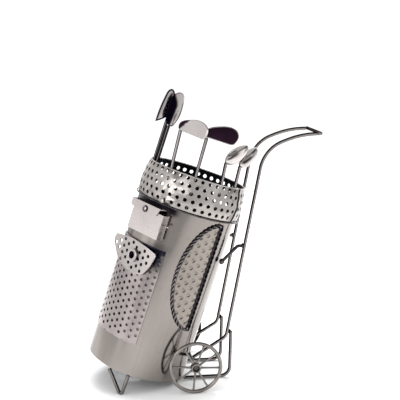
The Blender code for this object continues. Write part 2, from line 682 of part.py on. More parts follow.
def make_axle():
    neck = HUB_OUTER_Y - HUB_RECESS_DEPTH + SEAT_GAP
    head = neck + AXLE_HEAD_LENGTH
    collar_out = HUB_OUTER_Y - HUB_LENGTH - SEAT_GAP
    collar_in = collar_out - AXLE_COLLAR_LENGTH
    half = [(0, head), (AXLE_HEAD_DIAMETER / 2, head), (AXLE_HEAD_DIAMETER / 2, neck), (WIRE_RADIUS, neck),
            (WIRE_RADIUS, collar_out), (AXLE_COLLAR_DIAMETER / 2, collar_out),
            (AXLE_COLLAR_DIAMETER / 2, collar_in), (WIRE_RADIUS, collar_in)]
    profile = half + [(radius, -y) for radius, y in reversed(half)]
    turned("axle", profile, ASSEMBLY, "trolley_steel", AXLE_MATRIX, 12)


def make_wheel(name, side):
    """A wheel on its own frame, whose Z is the axle's line and points away from the bag."""
    place = Matrix.Translation((0, side * WHEEL_TRACK / 2, WHEEL_RADIUS)) \
        @ Matrix.Rotation(-side * pi / 2, 4, "X")
    frame = new_frame(name + "_centre", place, ASSEMBLY)
    rim_radius = WHEEL_RADIUS - WHEEL_RIM_DIAMETER / 2
    bpy.ops.mesh.primitive_torus_add(major_radius=rim_radius, minor_radius=WHEEL_RIM_DIAMETER / 2,
                                     major_segments=RIM_SEGMENTS, minor_segments=8)
    rim = bpy.context.object
    rim.name = name + "_rim"
    for collection in rim.users_collection:
        collection.objects.unlink(rim)
    PARTS.objects.link(rim)
    rim.parent = frame
    rim.data.materials.append(MATERIALS["wheel_steel"])
    rim.data.shade_smooth()

    bore = WIRE_RADIUS + SEAT_GAP
    recess = HUB_RECESS_DIAMETER / 2
    outer = HUB_DIAMETER / 2
    end = HUB_LENGTH / 2
    floor = end - HUB_RECESS_DEPTH
    turned(name + "_hub", [(outer, end), (outer, -end), (bore, -end), (bore, floor), (recess, floor),
                           (recess, end)], frame, "wheel_steel", segments=ROUND_SEGMENTS)
    inner_end = outer + SEAT_GAP
    outer_end = rim_radius - WHEEL_RIM_DIAMETER / 2 - SEAT_GAP
    for number, angle in enumerate(SPOKE_ANGLES, 1):
        seen = angle if side < 0 else pi - angle
        spoke = Matrix.Rotation(seen, 4, "Z") @ Matrix.Rotation(pi / 2, 4, "Y")
        mesh_object(f"{name}_spoke_{number}", cylinder(SPOKE_DIAMETER / 2, inner_end, outer_end, 8), frame,
                    "wheel_steel", spoke)


make_axle()
make_wheel("near_wheel", -1)
make_wheel("far_wheel", 1)


# Trolley rails, grip, legs and struts

def rail_x(z):
    return RAIL_FOOT_X + (z - RAIL_FOOT_Z) * tan(RAIL_LEAN)


def make_rail(name, side):
    """Up from under the axle, back past the bag's rear, over the shoulder and the brow to the grip."""
    y = side * RAIL_HALF_SPREAD
    axle = Vector((0, y, WHEEL_RADIUS))
    foot = Vector((RAIL_FOOT_X, y, RAIL_FOOT_Z))
    reach = WIRE_DIAMETER + SEAT_GAP
    to_axle = axle - foot
    slope = atan2(-to_axle.z, -to_axle.x) + asin(reach / to_axle.length)
    ahead = Vector((-cos(slope), 0, -sin(slope)))
    end = foot + ahead * sqrt(to_axle.length ** 2 - reach ** 2)
    shoulder = Vector((rail_x(RAIL_SHOULDER_Z), y, RAIL_SHOULDER_Z))
    brow = Vector((RAIL_BROW_X, y, GRIP_Z))
    grip_end = Vector((GRIP_X - WIRE_RADIUS - SEAT_GAP, y, GRIP_Z))
    if side < 0:
        grip_end.x = GRIP_X - GRIP_ELBOW_RADIUS - WIRE_RADIUS
    route = rounded([end, (foot, RAIL_FOOT_BEND_RADIUS), (shoulder, RAIL_SHOULDER_BEND_RADIUS),
                     (brow, RAIL_BROW_BEND_RADIUS), grip_end], 0)
    wire(name + "_rail", route, WIRE_DIAMETER, ASSEMBLY, "trolley_steel")


def make_grip():
    """A bar across the rails: an elbow meets the near rail's end, and the far rail's end meets the bar."""
    near = Vector((GRIP_X - GRIP_ELBOW_RADIUS - WIRE_RADIUS + SEAT_GAP, -RAIL_HALF_SPREAD, GRIP_Z))
    corner = Vector((GRIP_X, -RAIL_HALF_SPREAD, GRIP_Z))
    far = Vector((GRIP_X, RAIL_HALF_SPREAD + WIRE_RADIUS + GRIP_OVERHANG, GRIP_Z))
    route = rounded([near, corner, far], GRIP_ELBOW_RADIUS)
    wire("grip_bar", route, WIRE_DIAMETER, ASSEMBLY, "trolley_steel")


def make_leg(name, side):
    """From a weld behind the rail straight down, then forward along the floor to the bag's foot."""
    y = side * RAIL_HALF_SPREAD
    behind = (WIRE_DIAMETER + SEAT_GAP) / cos(RAIL_LEAN)
    top = Vector((rail_x(LEG_WELD_Z) + behind, y, LEG_WELD_Z))
    heel = Vector((top.x - LEG_LEAN, y, WIRE_RADIUS))
    rear_of_bag = sqrt(BAG_RADIUS ** 2 - (RAIL_HALF_SPREAD - WIRE_RADIUS) ** 2)
    bag_foot_x = -AXLE_TO_BAG_BASE + rear_of_bag * cos(BAG_LEAN)
    top_of_toe = LEG_TOE_RISE + WIRE_DIAMETER
    toe = Vector((bag_foot_x + top_of_toe * tan(BAG_LEAN) + SEAT_GAP, y, LEG_TOE_RISE + WIRE_RADIUS))
    route = rounded([top, heel, toe], LEG_BEND_RADIUS)
    wire(name + "_leg", route, WIRE_DIAMETER, ASSEMBLY, "trolley_steel")


def make_strut(name, side):
    """From the rail's front forward and down to a ball against the bag's rear."""
    y = side * RAIL_HALF_SPREAD
    ball = STRUT_BALL_DIAMETER / 2
    ball_reach = BAG_RADIUS + SEAT_GAP + ball
    foot = BAG_MATRIX @ around_bag(-side * STRUT_BAG_ANGLE, ball_reach, STRUT_BAG_HEIGHT)
    room = (WIRE_RADIUS + SEAT_GAP) / cos(RAIL_LEAN) + WIRE_RADIUS * tan(RAIL_LEAN)
    start = Vector((rail_x(STRUT_RAIL_Z) - room, y, STRUT_RAIL_Z))
    bend = start - Vector((STRUT_LEVEL_RUN, 0, 0))
    line = (foot - bend).normalized()
    steps = [-1.0, -0.85, -0.5, 0.0, 0.5, 0.85, 1.0]
    swell = [max(0.35, sqrt(max(0, 1 - s * s))) * ball / WIRE_RADIUS for s in steps]
    swell[0] = 1.0
    route = rounded([start, bend, foot - line * ball], STRUT_BEND_RADIUS)[:-1]
    route += [foot + line * ball * s for s in steps]
    wire(name + "_strut", route, WIRE_DIAMETER, ASSEMBLY, "trolley_steel", swell=swell)


for rail_name, rail_side in (("near", -1), ("far", 1)):
    make_rail(rail_name, rail_side)
    make_leg(rail_name, rail_side)
    make_strut(rail_name, rail_side)
make_grip()


# Clubs

def club_line(rim_angle, top_angle, top_height):
    """The two ends of a shaft that touches the collar's inside at its rim."""
    rim = around_bag(rim_angle, CLUB_RADIUS, BAG_TOP_HEIGHT)
    top = around_bag(top_angle, CLUB_RADIUS, top_height)
    slope = (top - rim) / (top_height - BAG_TOP_HEIGHT)
    return rim - slope * CLUB_DEPTH, top


def line_matrix(start, end):
    place = (end - start).to_track_quat("Z", "Y").to_matrix().to_4x4()
    place.translation = start
    return place


def make_shaft(name, start, end):
    shaft = cylinder(WIRE_RADIUS, 0, (end - start).length, WIRE_SIDES)
    mesh_object(name, shaft, BAG, "trolley_steel", line_matrix(start, end))


def make_head(number, bm, place, start, end, smooth=False):
    """A head that leaves room for the end of its shaft."""
    head = mesh_object(f"club_{number}_head", bm, BAG, "bright_steel", place, smooth=smooth)
    room = cylinder(WIRE_RADIUS + SEAT_GAP, 0, (end - start).length + SEAT_GAP, WIRE_SIDES)
    boolean(head, cutter(f"club_{number}_room", room, BAG, line_matrix(start, end)), "DIFFERENCE")


def make_iron(number, rim_angle, top_angle, rise, length):
    """A plate that stands on its shaft's end: a flat sole, a low heel by the shaft and a high round toe."""
    sole_height = BAG_TOP_HEIGHT + rise
    start, end = club_line(rim_angle, top_angle, sole_height)
    make_shaft(f"club_{number}_shaft", start, end)
    outline = [(x * length, y * IRON_HEAD_HEIGHT) for x, y in IRON_PROFILE]
    place = tangent_place(top_angle, CLUB_RADIUS, -IRON_HEEL_LENGTH, sole_height)
    make_head(number, flat_sheet(outline, [], HEAD_THICKNESS), place, start, end)


def make_blade(number, angle, rise, profile):
    """A long upright plate in the shaft's own plane, seen full from the near side."""
    start, end = club_line(angle, angle, BAG_TOP_HEIGHT + rise)
    make_shaft(f"club_{number}_shaft", start, end)
    outline = [(x * BLADE_LENGTH, y * BLADE_LENGTH) for x, y in profile]
    upright = Matrix.Rotation(-BAG_LEAN, 4, "Y") @ Matrix.Rotation(pi / 2, 4, "X")
    place = Matrix.Translation(end) @ upright
    make_head(number, flat_sheet(outline, [], HEAD_THICKNESS), place, start, end)


def make_wood(number, rim_angle, top_angle, rise):
    """A smooth oval head that runs up and back from the shaft's end."""
    top_height = BAG_TOP_HEIGHT + rise
    start, end = club_line(rim_angle, top_angle, top_height)
    make_shaft(f"club_{number}_shaft", start, end)
    place = tangent_place(top_angle, CLUB_RADIUS, 0, top_height) @ Matrix.Rotation(-WOOD_SLANT, 4, "Z")
    place = place @ Matrix.Translation((0, WOOD_LENGTH * WOOD_CENTRE_SHARE, 0))
    place = place @ Matrix.Rotation(pi / 2, 4, "X")
    make_head(number, ellipsoid(WOOD_LENGTH, WOOD_WIDTH, WOOD_THICKNESS), place, start, end, smooth=True)


for club, ((around, rise), profile) in enumerate(zip(BLADES, BLADE_PROFILES), 1):
    make_blade(club, radians(around), rise, profile)
for club, (rim, top, rise, length) in enumerate(IRONS, 1 + len(BLADES)):
    make_iron(club, radians(rim), radians(top), rise, length)
for club, (rim, top, rise) in enumerate(WOODS, 1 + len(BLADES) + len(IRONS)):
    make_wood(club, radians(rim), radians(top), rise)
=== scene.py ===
"""The looks of a holder in the form of a golf bag on a two-wheeled trolley, dressed over its CAD solids.

Metres, +Z up, +X towards the trolley's grip. The bag has a frame of its own: its third axis runs up the
bag, and an angle round the bag starts at its front (-X) and grows towards the near side (-Y).
"""

from math import asin, atan2, ceil, cos, degrees, exp, floor, pi, radians, sin, sqrt, tan

import bmesh
import bpy
from mathutils import Matrix, Vector, noise
from mathutils.geometry import delaunay_2d_cdt
from mathutils.kdtree import KDTree


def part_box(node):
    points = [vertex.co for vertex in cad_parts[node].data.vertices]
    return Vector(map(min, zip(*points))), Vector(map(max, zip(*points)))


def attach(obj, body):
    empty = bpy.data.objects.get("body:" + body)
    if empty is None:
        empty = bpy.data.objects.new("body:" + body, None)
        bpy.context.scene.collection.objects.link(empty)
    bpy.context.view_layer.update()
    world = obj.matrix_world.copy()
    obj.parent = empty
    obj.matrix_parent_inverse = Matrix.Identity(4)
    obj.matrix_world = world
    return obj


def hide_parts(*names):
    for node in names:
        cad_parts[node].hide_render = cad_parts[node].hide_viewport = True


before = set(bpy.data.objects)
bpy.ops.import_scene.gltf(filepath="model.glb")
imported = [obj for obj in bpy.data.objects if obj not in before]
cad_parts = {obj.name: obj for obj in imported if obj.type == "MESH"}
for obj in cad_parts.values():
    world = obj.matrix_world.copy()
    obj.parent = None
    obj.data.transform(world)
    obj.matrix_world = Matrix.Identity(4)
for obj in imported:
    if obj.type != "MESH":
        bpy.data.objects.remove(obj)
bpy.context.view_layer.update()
MM = 0.001

# Stock and clearances
GAP = 0.3 * MM
WIRE = 1.5 * MM
WIRE_LOOK = WIRE * 0.99
STEP = 1.5 * MM
BEVEL = 0.35
SHEET = 1.0 * MM

# Bag
BAG_LEAN = radians(18.5)
BAG_RADIUS = 43.6 * MM
BAG_LENGTH = 150 * MM
AXLE_TO_BAG_BASE = 45.2 * MM
COLLAR_BOTTOM = 146.5 * MM
COLLAR_TOP = 177.1 * MM
COLLAR_TOP_RADIUS = 43.0 * MM
COLLAR_BULGE = 1.9 * MM
COLLAR_SEAM = radians(140.2)
COLLAR_HOLE = 1.68 * MM
COLLAR_ROWS = (146.0, 151.4, 157.2, 163.2, 169.0, 174.9)
COLLAR_PITCH = radians(8.6)
COLLAR_LATTICE_ANGLE = radians(90)

# Large pocket
PANEL_ANGLE = radians(35)
PANEL_ARC = radians(72)
PANEL_BOTTOM = 27 * MM
PANEL_TOP = 110.5 * MM
PANEL_HOLE = 1.35 * MM
PANEL_COLUMN_STEP = radians(6.7)
PANEL_PITCH = 5.83 * MM
PANEL_LATTICE_ANGLE = radians(28)
PANEL_LATTICE_HEIGHT = 29.1 * MM

# Side pocket
SIDE_REAR = radians(126)
SIDE_ARC = radians(37.5)
SIDE_MIDDLE = 96.5 * MM
SIDE_LENGTH = 95 * MM
ROPE_RADIUS = 1.2 * MM
ROPE_TWIST = 8.4 * MM

# Wheels, read from the frame
HUB_LOW, HUB_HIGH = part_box("near_wheel_hub")
RIM_LOW, RIM_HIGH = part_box("near_wheel_rim")
AXLE_X = (HUB_LOW.x + HUB_HIGH.x) / 2
WHEEL_RADIUS = RIM_HIGH.z / 2
WHEEL_Y = -(HUB_LOW.y + HUB_HIGH.y) / 2
RIM_WIRE = (RIM_HIGH.y - RIM_LOW.y) / 2
SPOKE_ANGLES = tuple(radians(a) for a in (-4, 32, 70, 120, 174, 214, 264, 300))
SPOKE = 0.8 * MM

# Front foot
FOOT_TIP_X = AXLE_X - 63.3 * MM

# Trolley
RAIL_Y = 19.5 * MM
RAIL_FOOT_X = AXLE_X + 32.3 * MM
RAIL_FOOT_Z = 38.2 * MM
RAIL_LEAN = radians(11.0)
RAIL_SHOULDER_Z = 204.2 * MM
RAIL_BROW_X = AXLE_X + 97.2 * MM
GRIP_X = AXLE_X + 115 * MM
GRIP_Z = 216 * MM
GRIP_CORNER = 3.5 * MM
RAIL_BENDS = (8 * MM, 30 * MM, 75 * MM)
LEG_TOP_Z = 43 * MM
TOE_Z = 2.3 * MM
STRUT_RAIL_Z = 120 * MM
STRUT_BAG_ANGLE = radians(145)
STRUT_BAG_HEIGHT = 112.6 * MM
STRUT_BALL = 2.6 * MM

# Frames
BAG_BASE = Vector((AXLE_X - AXLE_TO_BAG_BASE, 0, BAG_RADIUS * sin(BAG_LEAN) + GAP))
BAG = Matrix.Translation(BAG_BASE) @ Matrix.Rotation(BAG_LEAN, 4, "Y")
BAG_TURN = BAG.to_3x3()
BAG_AXIS = BAG_TURN @ Vector((0, 0, 1))


# Materials

BLACK = (0.010, 0.008, 0.012)


def new_material(name):
    material = bpy.data.materials.new(name)
    material.use_nodes = True
    tree = material.node_tree
    return material, tree, tree.nodes["Principled BSDF"]


def add(tree, kind, **settings):
    """A node with its settings; a value given for an input's name or number goes on that input."""
    node = tree.nodes.new("ShaderNode" + kind)
    for key, value in settings.items():
        if key.startswith("in_"):
            name = key[3:].replace("_", " ")
            socket = node.inputs[int(name)] if name.isdigit() else node.inputs[name]
            if isinstance(value, bpy.types.NodeSocket):
                tree.links.new(value, socket)
            else:
                socket.default_value = value
        else:
            setattr(node, key, value)
    return node


def noise_of(tree, vector, scale, detail, roughness=0.55):
    return add(tree, "TexNoise", in_Vector=vector, in_Scale=scale, in_Detail=detail,
               in_Roughness=roughness).outputs["Fac"]


def ramp(tree, value, stops):
    """A color ramp from (position, grey or color) stops."""
    node = add(tree, "ValToRGB", in_Fac=value)
    elements = node.color_ramp.elements
    while len(elements) < len(stops):
        elements.new(0.5)
    for element, (position, color) in zip(elements, stops):
        element.position = position
        element.color = (*color, 1) if isinstance(color, tuple) else (color, color, color, 1)
    return node.outputs["Color"]


def spread(tree, value, low, high, to_low, to_high, course="LINEAR"):
    return add(tree, "MapRange", interpolation_type=course, in_Value=value, in_1=low, in_2=high,
               in_3=to_low, in_4=to_high).outputs["Result"]


def blend_colors(tree, factor, first, second, mode="MIX"):
    node = add(tree, "Mix", data_type="RGBA", blend_type=mode)
    for number, value in ((0, factor), (6, first), (7, second)):
        if isinstance(value, bpy.types.NodeSocket):
            tree.links.new(value, node.inputs[number])
        else:
            node.inputs[number].default_value = (*value, 1) if isinstance(value, tuple) else value
    return node.outputs[2]


def axes_of(tree, vector):
    return add(tree, "SeparateXYZ", in_Vector=vector).outputs


def product(tree, first, second):
    return add(tree, "Math", operation="MULTIPLY", in_0=first, in_1=second).outputs[0]


def summed(tree, first, second):
    return add(tree, "Math", operation="ADD", in_0=first, in_1=second).outputs[0]


def metal(name, light, dark, stain, rough, stretch=1, grain_scale=900, dents=0.0, dent_scale=90,
          patches=40, turn=(0, 0, 0), painted_shading=None, dark_top=False, dark_before=None, edge=1.0):
    """Worn metal: two tones in patches, stains, a grain, dents, painted shade and dark reflections where a mesh says
    so, and painted shade on chosen faces.
    """
    material, tree, shader = new_material(name)
    source = add(tree, "TexCoord").outputs
    plain = source["Object"]
    space = add(tree, "Mapping", vector_type="TEXTURE", in_Vector=plain, in_Rotation=turn,
                in_Scale=(1, 1, stretch)).outputs["Vector"]
    tones = ramp(tree, noise_of(tree, plain, patches, 5), [(0.35, dark), (0.62, light)])
    spots = ramp(tree, noise_of(tree, plain, patches * 4, 4, 0.7), [(0.60, 0.0), (0.74, 1.0)])
    color = blend_colors(tree, spots, tones, stain)
    fine = noise_of(tree, space, grain_scale, 3)
    color = blend_colors(tree, 0.35, color, ramp(tree, fine, [(0.3, 0.45), (0.7, 0.62)]), "OVERLAY")
    # Painted shade and painted dark reflections where the mesh marks them.
    if painted_shading:
        share = add(tree, "Attribute", attribute_name="painted_shading").outputs["Fac"]
        color = blend_colors(tree, share, color, painted_shading)
    # Painted shade on faces that look up.
    if dark_top:
        facing = axes_of(tree, source["Normal"])
        color = blend_colors(tree, spread(tree, facing["Z"], 0.75, 0.9, 0, 1), color, BLACK)
    # Painted shade on faces turned towards +X, in front of a line across X.
    if dark_before is not None:
        before = spread(tree, axes_of(tree, plain)["X"], dark_before, dark_before - 0.6 * MM, 0, 0.95)
        behind = spread(tree, axes_of(tree, source["Normal"])["X"], -0.25, 0.15, 0, 1)
        color = blend_colors(tree, product(tree, before, behind), color, BLACK)
    tree.links.new(color, shader.inputs["Base Color"])
    shader.inputs["Metallic"].default_value = 1.0
    shader.inputs["Specular Tint"].default_value = (edge, edge, edge, 1)
    wear = noise_of(tree, plain, patches * 2, 4)
    tree.links.new(spread(tree, summed(tree, fine, wear), 0.7, 1.3, *rough), shader.inputs["Roughness"])
    small = add(tree, "Bump", in_Strength=0.15, in_Distance=0.02 * MM, in_Height=fine).outputs[0]
    if dents:
        deep = noise_of(tree, plain, dent_scale, 2, 0.4)
        small = add(tree, "Bump", in_Strength=1.0, in_Distance=dents, in_Height=deep, in_Normal=small).outputs[0]
    tree.links.new(small, shader.inputs["Normal"])
    return material


BAG_SPACE = (0, BAG_LEAN, 0)
BRIGHT = ((0.46, 0.425, 0.415), (0.42, 0.388, 0.378), (0.36, 0.33, 0.32), (0.15, 0.22))
PLATE = {"dents": 0.02 * MM}
DRAWN = {"grain_scale": 1400, "patches": 60, "painted_shading": BLACK}
# The colours given below for a mesh's marks are painted shade, painted shadows and painted dark reflections.
BAG_STEEL = metal("bag_steel_looks", (0.264, 0.239, 0.223), (0.240, 0.217, 0.202), (0.22, 0.195, 0.18), (0.12, 0.18),
                  stretch=25, turn=BAG_SPACE, patches=25, painted_shading=BLACK)
# Near-black steel for inner faces and the base plate: painted shade.
INSIDE_SHADE = metal("inside_shade_steel", (0.030, 0.034, 0.042), (0.010, 0.011, 0.015), (0.01, 0.01, 0.012), (0.40, 0.55),
               turn=BAG_SPACE, patches=45)
COLLAR_STEEL = metal("collar_steel", (0.40, 0.372, 0.355), (0.34, 0.315, 0.30), (0.27, 0.245, 0.235), (0.17, 0.27),
                     dents=0.03 * MM, dent_scale=110, patches=50, painted_shading=BLACK)
# Near-black steel for the collar's bead and the axle: painted shade under the collar and in the hub's recess.
SHADED_EDGE_STEEL = metal("shaded_edge_steel", (0.12, 0.11, 0.11), (0.03, 0.028, 0.034), (0.02, 0.02, 0.03), (0.20, 0.35),
                   patches=120)
POCKET_STEEL = metal("pocket_steel", *BRIGHT, **PLATE, painted_shading=BLACK)
# Painted shade on the up-facing faces of the tray, lid and pin.
TRAY_STEEL = metal("tray_steel", *BRIGHT, **PLATE, dark_top=True)
RIVET_STEEL = metal("rivet_steel", *BRIGHT, painted_shading=BLACK, edge=0.3)
PANEL_STEEL = metal("panel_steel", (0.395, 0.354, 0.347), (0.345, 0.308, 0.302), (0.285, 0.252, 0.247), (0.20, 0.28),
                    painted_shading=(0.010, 0.011, 0.024))
DIMPLED_STEEL = metal("dimpled_steel", (0.268, 0.240, 0.216), (0.240, 0.214, 0.192), (0.20, 0.18, 0.16), (0.20, 0.30),
                      patches=30, painted_shading=(0.02, 0.017, 0.017))
POLISHED = metal("polished_steel", (0.56, 0.525, 0.505), (0.50, 0.465, 0.445), (0.36, 0.33, 0.32), (0.05, 0.10),
                 dents=0.03 * MM, dent_scale=130, patches=50, painted_shading=(0.012, 0.008, 0.014))
HEAD_STEEL = metal("head_steel", (0.46, 0.428, 0.422), (0.42, 0.388, 0.382), (0.34, 0.31, 0.31), (0.12, 0.18),
                   **PLATE, painted_shading=(0.018, 0.008, 0.016))
BLADE_STEEL = metal("blade_steel", (0.44, 0.410, 0.405), (0.40, 0.370, 0.365), (0.34, 0.31, 0.31), (0.12, 0.18),
                    **PLATE, painted_shading=(0.003, 0.002, 0.006), edge=0.3)
SHAFT_STEEL = metal("shaft_steel", (0.27, 0.25, 0.243), (0.22, 0.203, 0.197), (0.16, 0.145, 0.14), (0.14, 0.20),
                    **DRAWN, edge=0.1)
WIRE_STEEL = metal("wire_steel", (0.25, 0.231, 0.221), (0.20, 0.184, 0.176), (0.12, 0.11, 0.104), (0.10, 0.18),
                   **DRAWN, edge=0.1)
# Painted shade on the foot's faces turned towards +X, in front of its tip.
FOOT_STEEL = metal("foot_steel", (0.20, 0.184, 0.175), (0.15, 0.138, 0.132), (0.08, 0.072, 0.068), (0.10, 0.18),
                   grain_scale=1400, patches=60, dark_before=FOOT_TIP_X, edge=0.1)
DARK_WIRE = metal("dark_wire", (0.075, 0.070, 0.068), (0.040, 0.037, 0.038), (0.02, 0.018, 0.018), (0.08, 0.16),
                  **DRAWN)
WHEEL_STEEL = metal("wheel_steel_looks", (0.24, 0.220, 0.206), (0.18, 0.164, 0.154), (0.10, 0.09, 0.085), (0.14, 0.24),
                    **DRAWN)
ROPE_STEEL = metal("rope_steel", (0.20, 0.188, 0.194), (0.13, 0.122, 0.128), (0.06, 0.055, 0.06), (0.16, 0.30),
                   patches=180, painted_shading=BLACK)


# Shape tools

def bag_point(angle, radius, height):
    return BAG @ Vector((-radius * cos(angle), -radius * sin(angle), height))


def bag_place(angle, reach, across=0.0, height=0.0):
    """A frame that touches a circle round the bag: X along the turn, Y up the bag, Z outward."""
    outward = Vector((-cos(angle), -sin(angle), 0))
    along = Vector((sin(angle), -cos(angle), 0))
    place = Matrix((along, Vector((0, 0, 1)), outward)).transposed().to_4x4()
    place.translation = outward * reach + along * across + Vector((0, 0, height))
    return BAG @ place


def outward(point):
    """The direction from the bag's axis to a point."""
    out = point - BAG_BASE
    return (out - BAG_AXIS * out.dot(BAG_AXIS)).normalized()


def nearest_of(points):
    tree = KDTree(len(points))
    for number, point in enumerate(points):
        tree.insert(point, number)
    tree.balance()
    return tree


def rise(value, low, high):
    """A smooth step from 0 at low to 1 at high."""
    share = min(1, max(0, (value - low) / (high - low)))
    return share * share * (3 - 2 * share)


def bell(value, middle, width, power=2):
    """1 in the middle, falling to 0 on both sides."""
    return exp(-((value - middle) / width) ** power)


def painted_shading(bm, shares):
    """Writes how much painted shade each vertex takes, from a list in the order of the vertices."""
    layer = bm.verts.layers.float.new("painted_shading")
    for vert, share in zip(bm.verts, shares):
        vert[layer] = share


def new_object(name, bm):
    mesh = bpy.data.meshes.new(name)
    bm.to_mesh(mesh)
    bm.free()
    obj = bpy.data.objects.new(name, mesh)
    bpy.context.scene.collection.objects.link(obj)
    return obj


def piece(name, bm, materials, slot, replaces=(), body="holder", sharp=radians(40)):
    """Turns a bmesh, in the frame of the whole, into a piece that rides on a body."""
    bmesh.ops.recalc_face_normals(bm, faces=bm.faces)
    if bm.calc_volume(signed=True) < 0:
        bmesh.ops.reverse_faces(bm, faces=bm.faces)
    obj = new_object(name, bm)
    for material in materials if isinstance(materials, (list, tuple)) else [materials]:
        obj.data.materials.append(material)
    obj.data.shade_smooth()
    obj.data.set_sharp_from_angle(angle=sharp)
    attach(obj, body)
    if replaces:
        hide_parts(*replaces)


def dress(node, bm, materials, slot, **more):
    """A piece that stands in for a CAD node."""
    piece(node + "_looks", bm, materials, slot, [node], **more)


def line_inside(bm, limit):
    """Gives the faces that look at the bag's axis the second material, which is near black as painted shade."""
    bm.normal_update()
    bmesh.ops.recalc_face_normals(bm, faces=bm.faces)
    for face in bm.faces:
        if face.normal.dot(outward(face.calc_center_median())) < limit:
            face.material_index = 1


def bridge(bm, first, second, shift=0):
    """Faces between two rings of equally many vertices."""
    count = len(first)
    for k in range(count):
        bm.faces.new((first[k], first[(k + 1) % count],
                      second[(k + 1 + shift) % count], second[(k + shift) % count]))


def angles_round(count):
    return [2 * pi * k / count for k in range(count)]


def ring_points(x, y, radius, sides):
    return [(x + radius * cos(a), y + radius * sin(a)) for a in angles_round(sides)]


def edge_points(start, end, step):
    """Points from start towards end, without the end, at most a step apart."""
    start, end = Vector(start), Vector(end)
    count = max(1, ceil((end - start).length / step))
    return [tuple(start.lerp(end, i / count)) for i in range(count)]


def along_corners(corners, step):
    """Points on the straight lines between corners, without the last corner."""
    return [point for start, end in zip(corners, corners[1:]) for point in edge_points(start, end, step)]


def rounded(corners):
    """A route through corners, each (point, radius), with arcs at the inner ones."""
    points = [Vector(c[0]) for c in corners]
    route = []
    for i, point in enumerate(points):
        radius = corners[i][1]
        if i in (0, len(points) - 1) or not radius:
            route.append(point)
            continue
        back = (points[i - 1] - point).normalized()
        ahead = (points[i + 1] - point).normalized()
        half = back.angle(ahead) / 2
        centre = point + (back + ahead).normalized() * (radius / sin(half))
        start = point + back * (radius / tan(half)) - centre
        turn = pi - 2 * half
        axis = back.cross(ahead).normalized() * -1
        steps = max(2, ceil(turn / radians(5)))
        route += [centre + Matrix.Rotation(turn * s / steps, 3, axis) @ start for s in range(steps + 1)]
    return route


def resampled(route, step, closed=False):
    """The route cut into lengths of about one step."""
    out = []
    pairs = zip(route, route[1:] + (route[:1] if closed else []))
    for start, end in pairs:
        count = max(1, ceil((end - start).length / step))
        out += [start.lerp(end, i / count) for i in range(count)]
    return out if closed else out + [route[-1]]


def bent(corners):
    """A route through corners, cut into short lengths."""
    return resampled(rounded(corners), STEP)


def tube(bm, route, radius, sides=14, closed=False, uneven=0.03):
    """Adds a round wire along a route to a bmesh; radius may be a function of the share of its length."""
    count = len(route)
    size = radius if callable(radius) else lambda share: radius
    tangents = []
    for i in range(count):
        before = route[i - 1] if closed or i else route[0]
        after = route[(i + 1) % count] if closed or i < count - 1 else route[-1]
        tangents.append((after - before).normalized())
    side = tangents[0].orthogonal().normalized()
    sides_of = []
    for i, tangent in enumerate(tangents):
        side = (side - tangent * side.dot(tangent)).normalized()
        sides_of.append(side.copy())
    rings = []

    def ring(centre, tangent, side, r):
        other = tangent.cross(side)
        grown = r * (1 + uneven * noise.noise(centre * 260))
        return [bm.verts.new(centre + (side * cos(a) + other * sin(a)) * grown) for a in angles_round(sides)]

    for i, centre in enumerate(route):
        r = size(i / max(1, count - 1))
        spots = [(centre, r)]
        if i == 0 and not closed:
            spots = [(centre, r * (1 - BEVEL)), (centre + tangents[i] * r * BEVEL, r)]
        elif i == count - 1 and not closed:
            spots = [(centre - tangents[i] * r * BEVEL, r), (centre, r * (1 - BEVEL))]
        rings += [ring(spot, tangents[i], sides_of[i], wide) for spot, wide in spots]
    pairs = list(zip(rings, rings[1:])) + ([(rings[-1], rings[0])] if closed else [])
    for first, second in pairs:
        shift = 0
        if closed and first is rings[-1]:
            shift = min(range(sides), key=lambda s: (first[0].co - second[s].co).length)
        bridge(bm, first, second, shift)
    if not closed:
        bm.faces.new(rings[0])
        bm.faces.new(list(reversed(rings[-1])))


def smooth_loop(points, steps=6):
    """A closed curve through points; a point given as (x, y, True) stays a corner."""
    out = []
    count = len(points)
    for i in range(count):
        p1, p2 = points[i], points[(i + 1) % count]
        p0 = points[i - 1] if len(p1) == 2 else p1
        p3 = points[(i + 2) % count] if len(p2) == 2 else p2
        a, b, c, d = (Vector(p[:2]) for p in (p0, p1, p2, p3))
        for s in range(steps):
            t = s / steps
            out.append(tuple(0.5 * ((2 * b) + (c - a) * t + (2 * a - 5 * b + 4 * c - d) * t * t
                                    + (3 * b - a - 3 * c + d) * t * t * t)))
    return out


def clear_inside(outline, spot, margin):
    """Whether a point lies more than a margin inside a convex outline given anticlockwise."""
    for start, end in zip(outline, outline[1:] + outline[:1]):
        edge = (Vector(end) - Vector(start)).normalized()
        if edge.cross(spot - Vector(start)) < margin:
            return False
    return True


def copysign_power(value, power):
    """A power that keeps the sign, for rounded rectangles."""
    return abs(value) ** power * (1 if value >= 0 else -1)


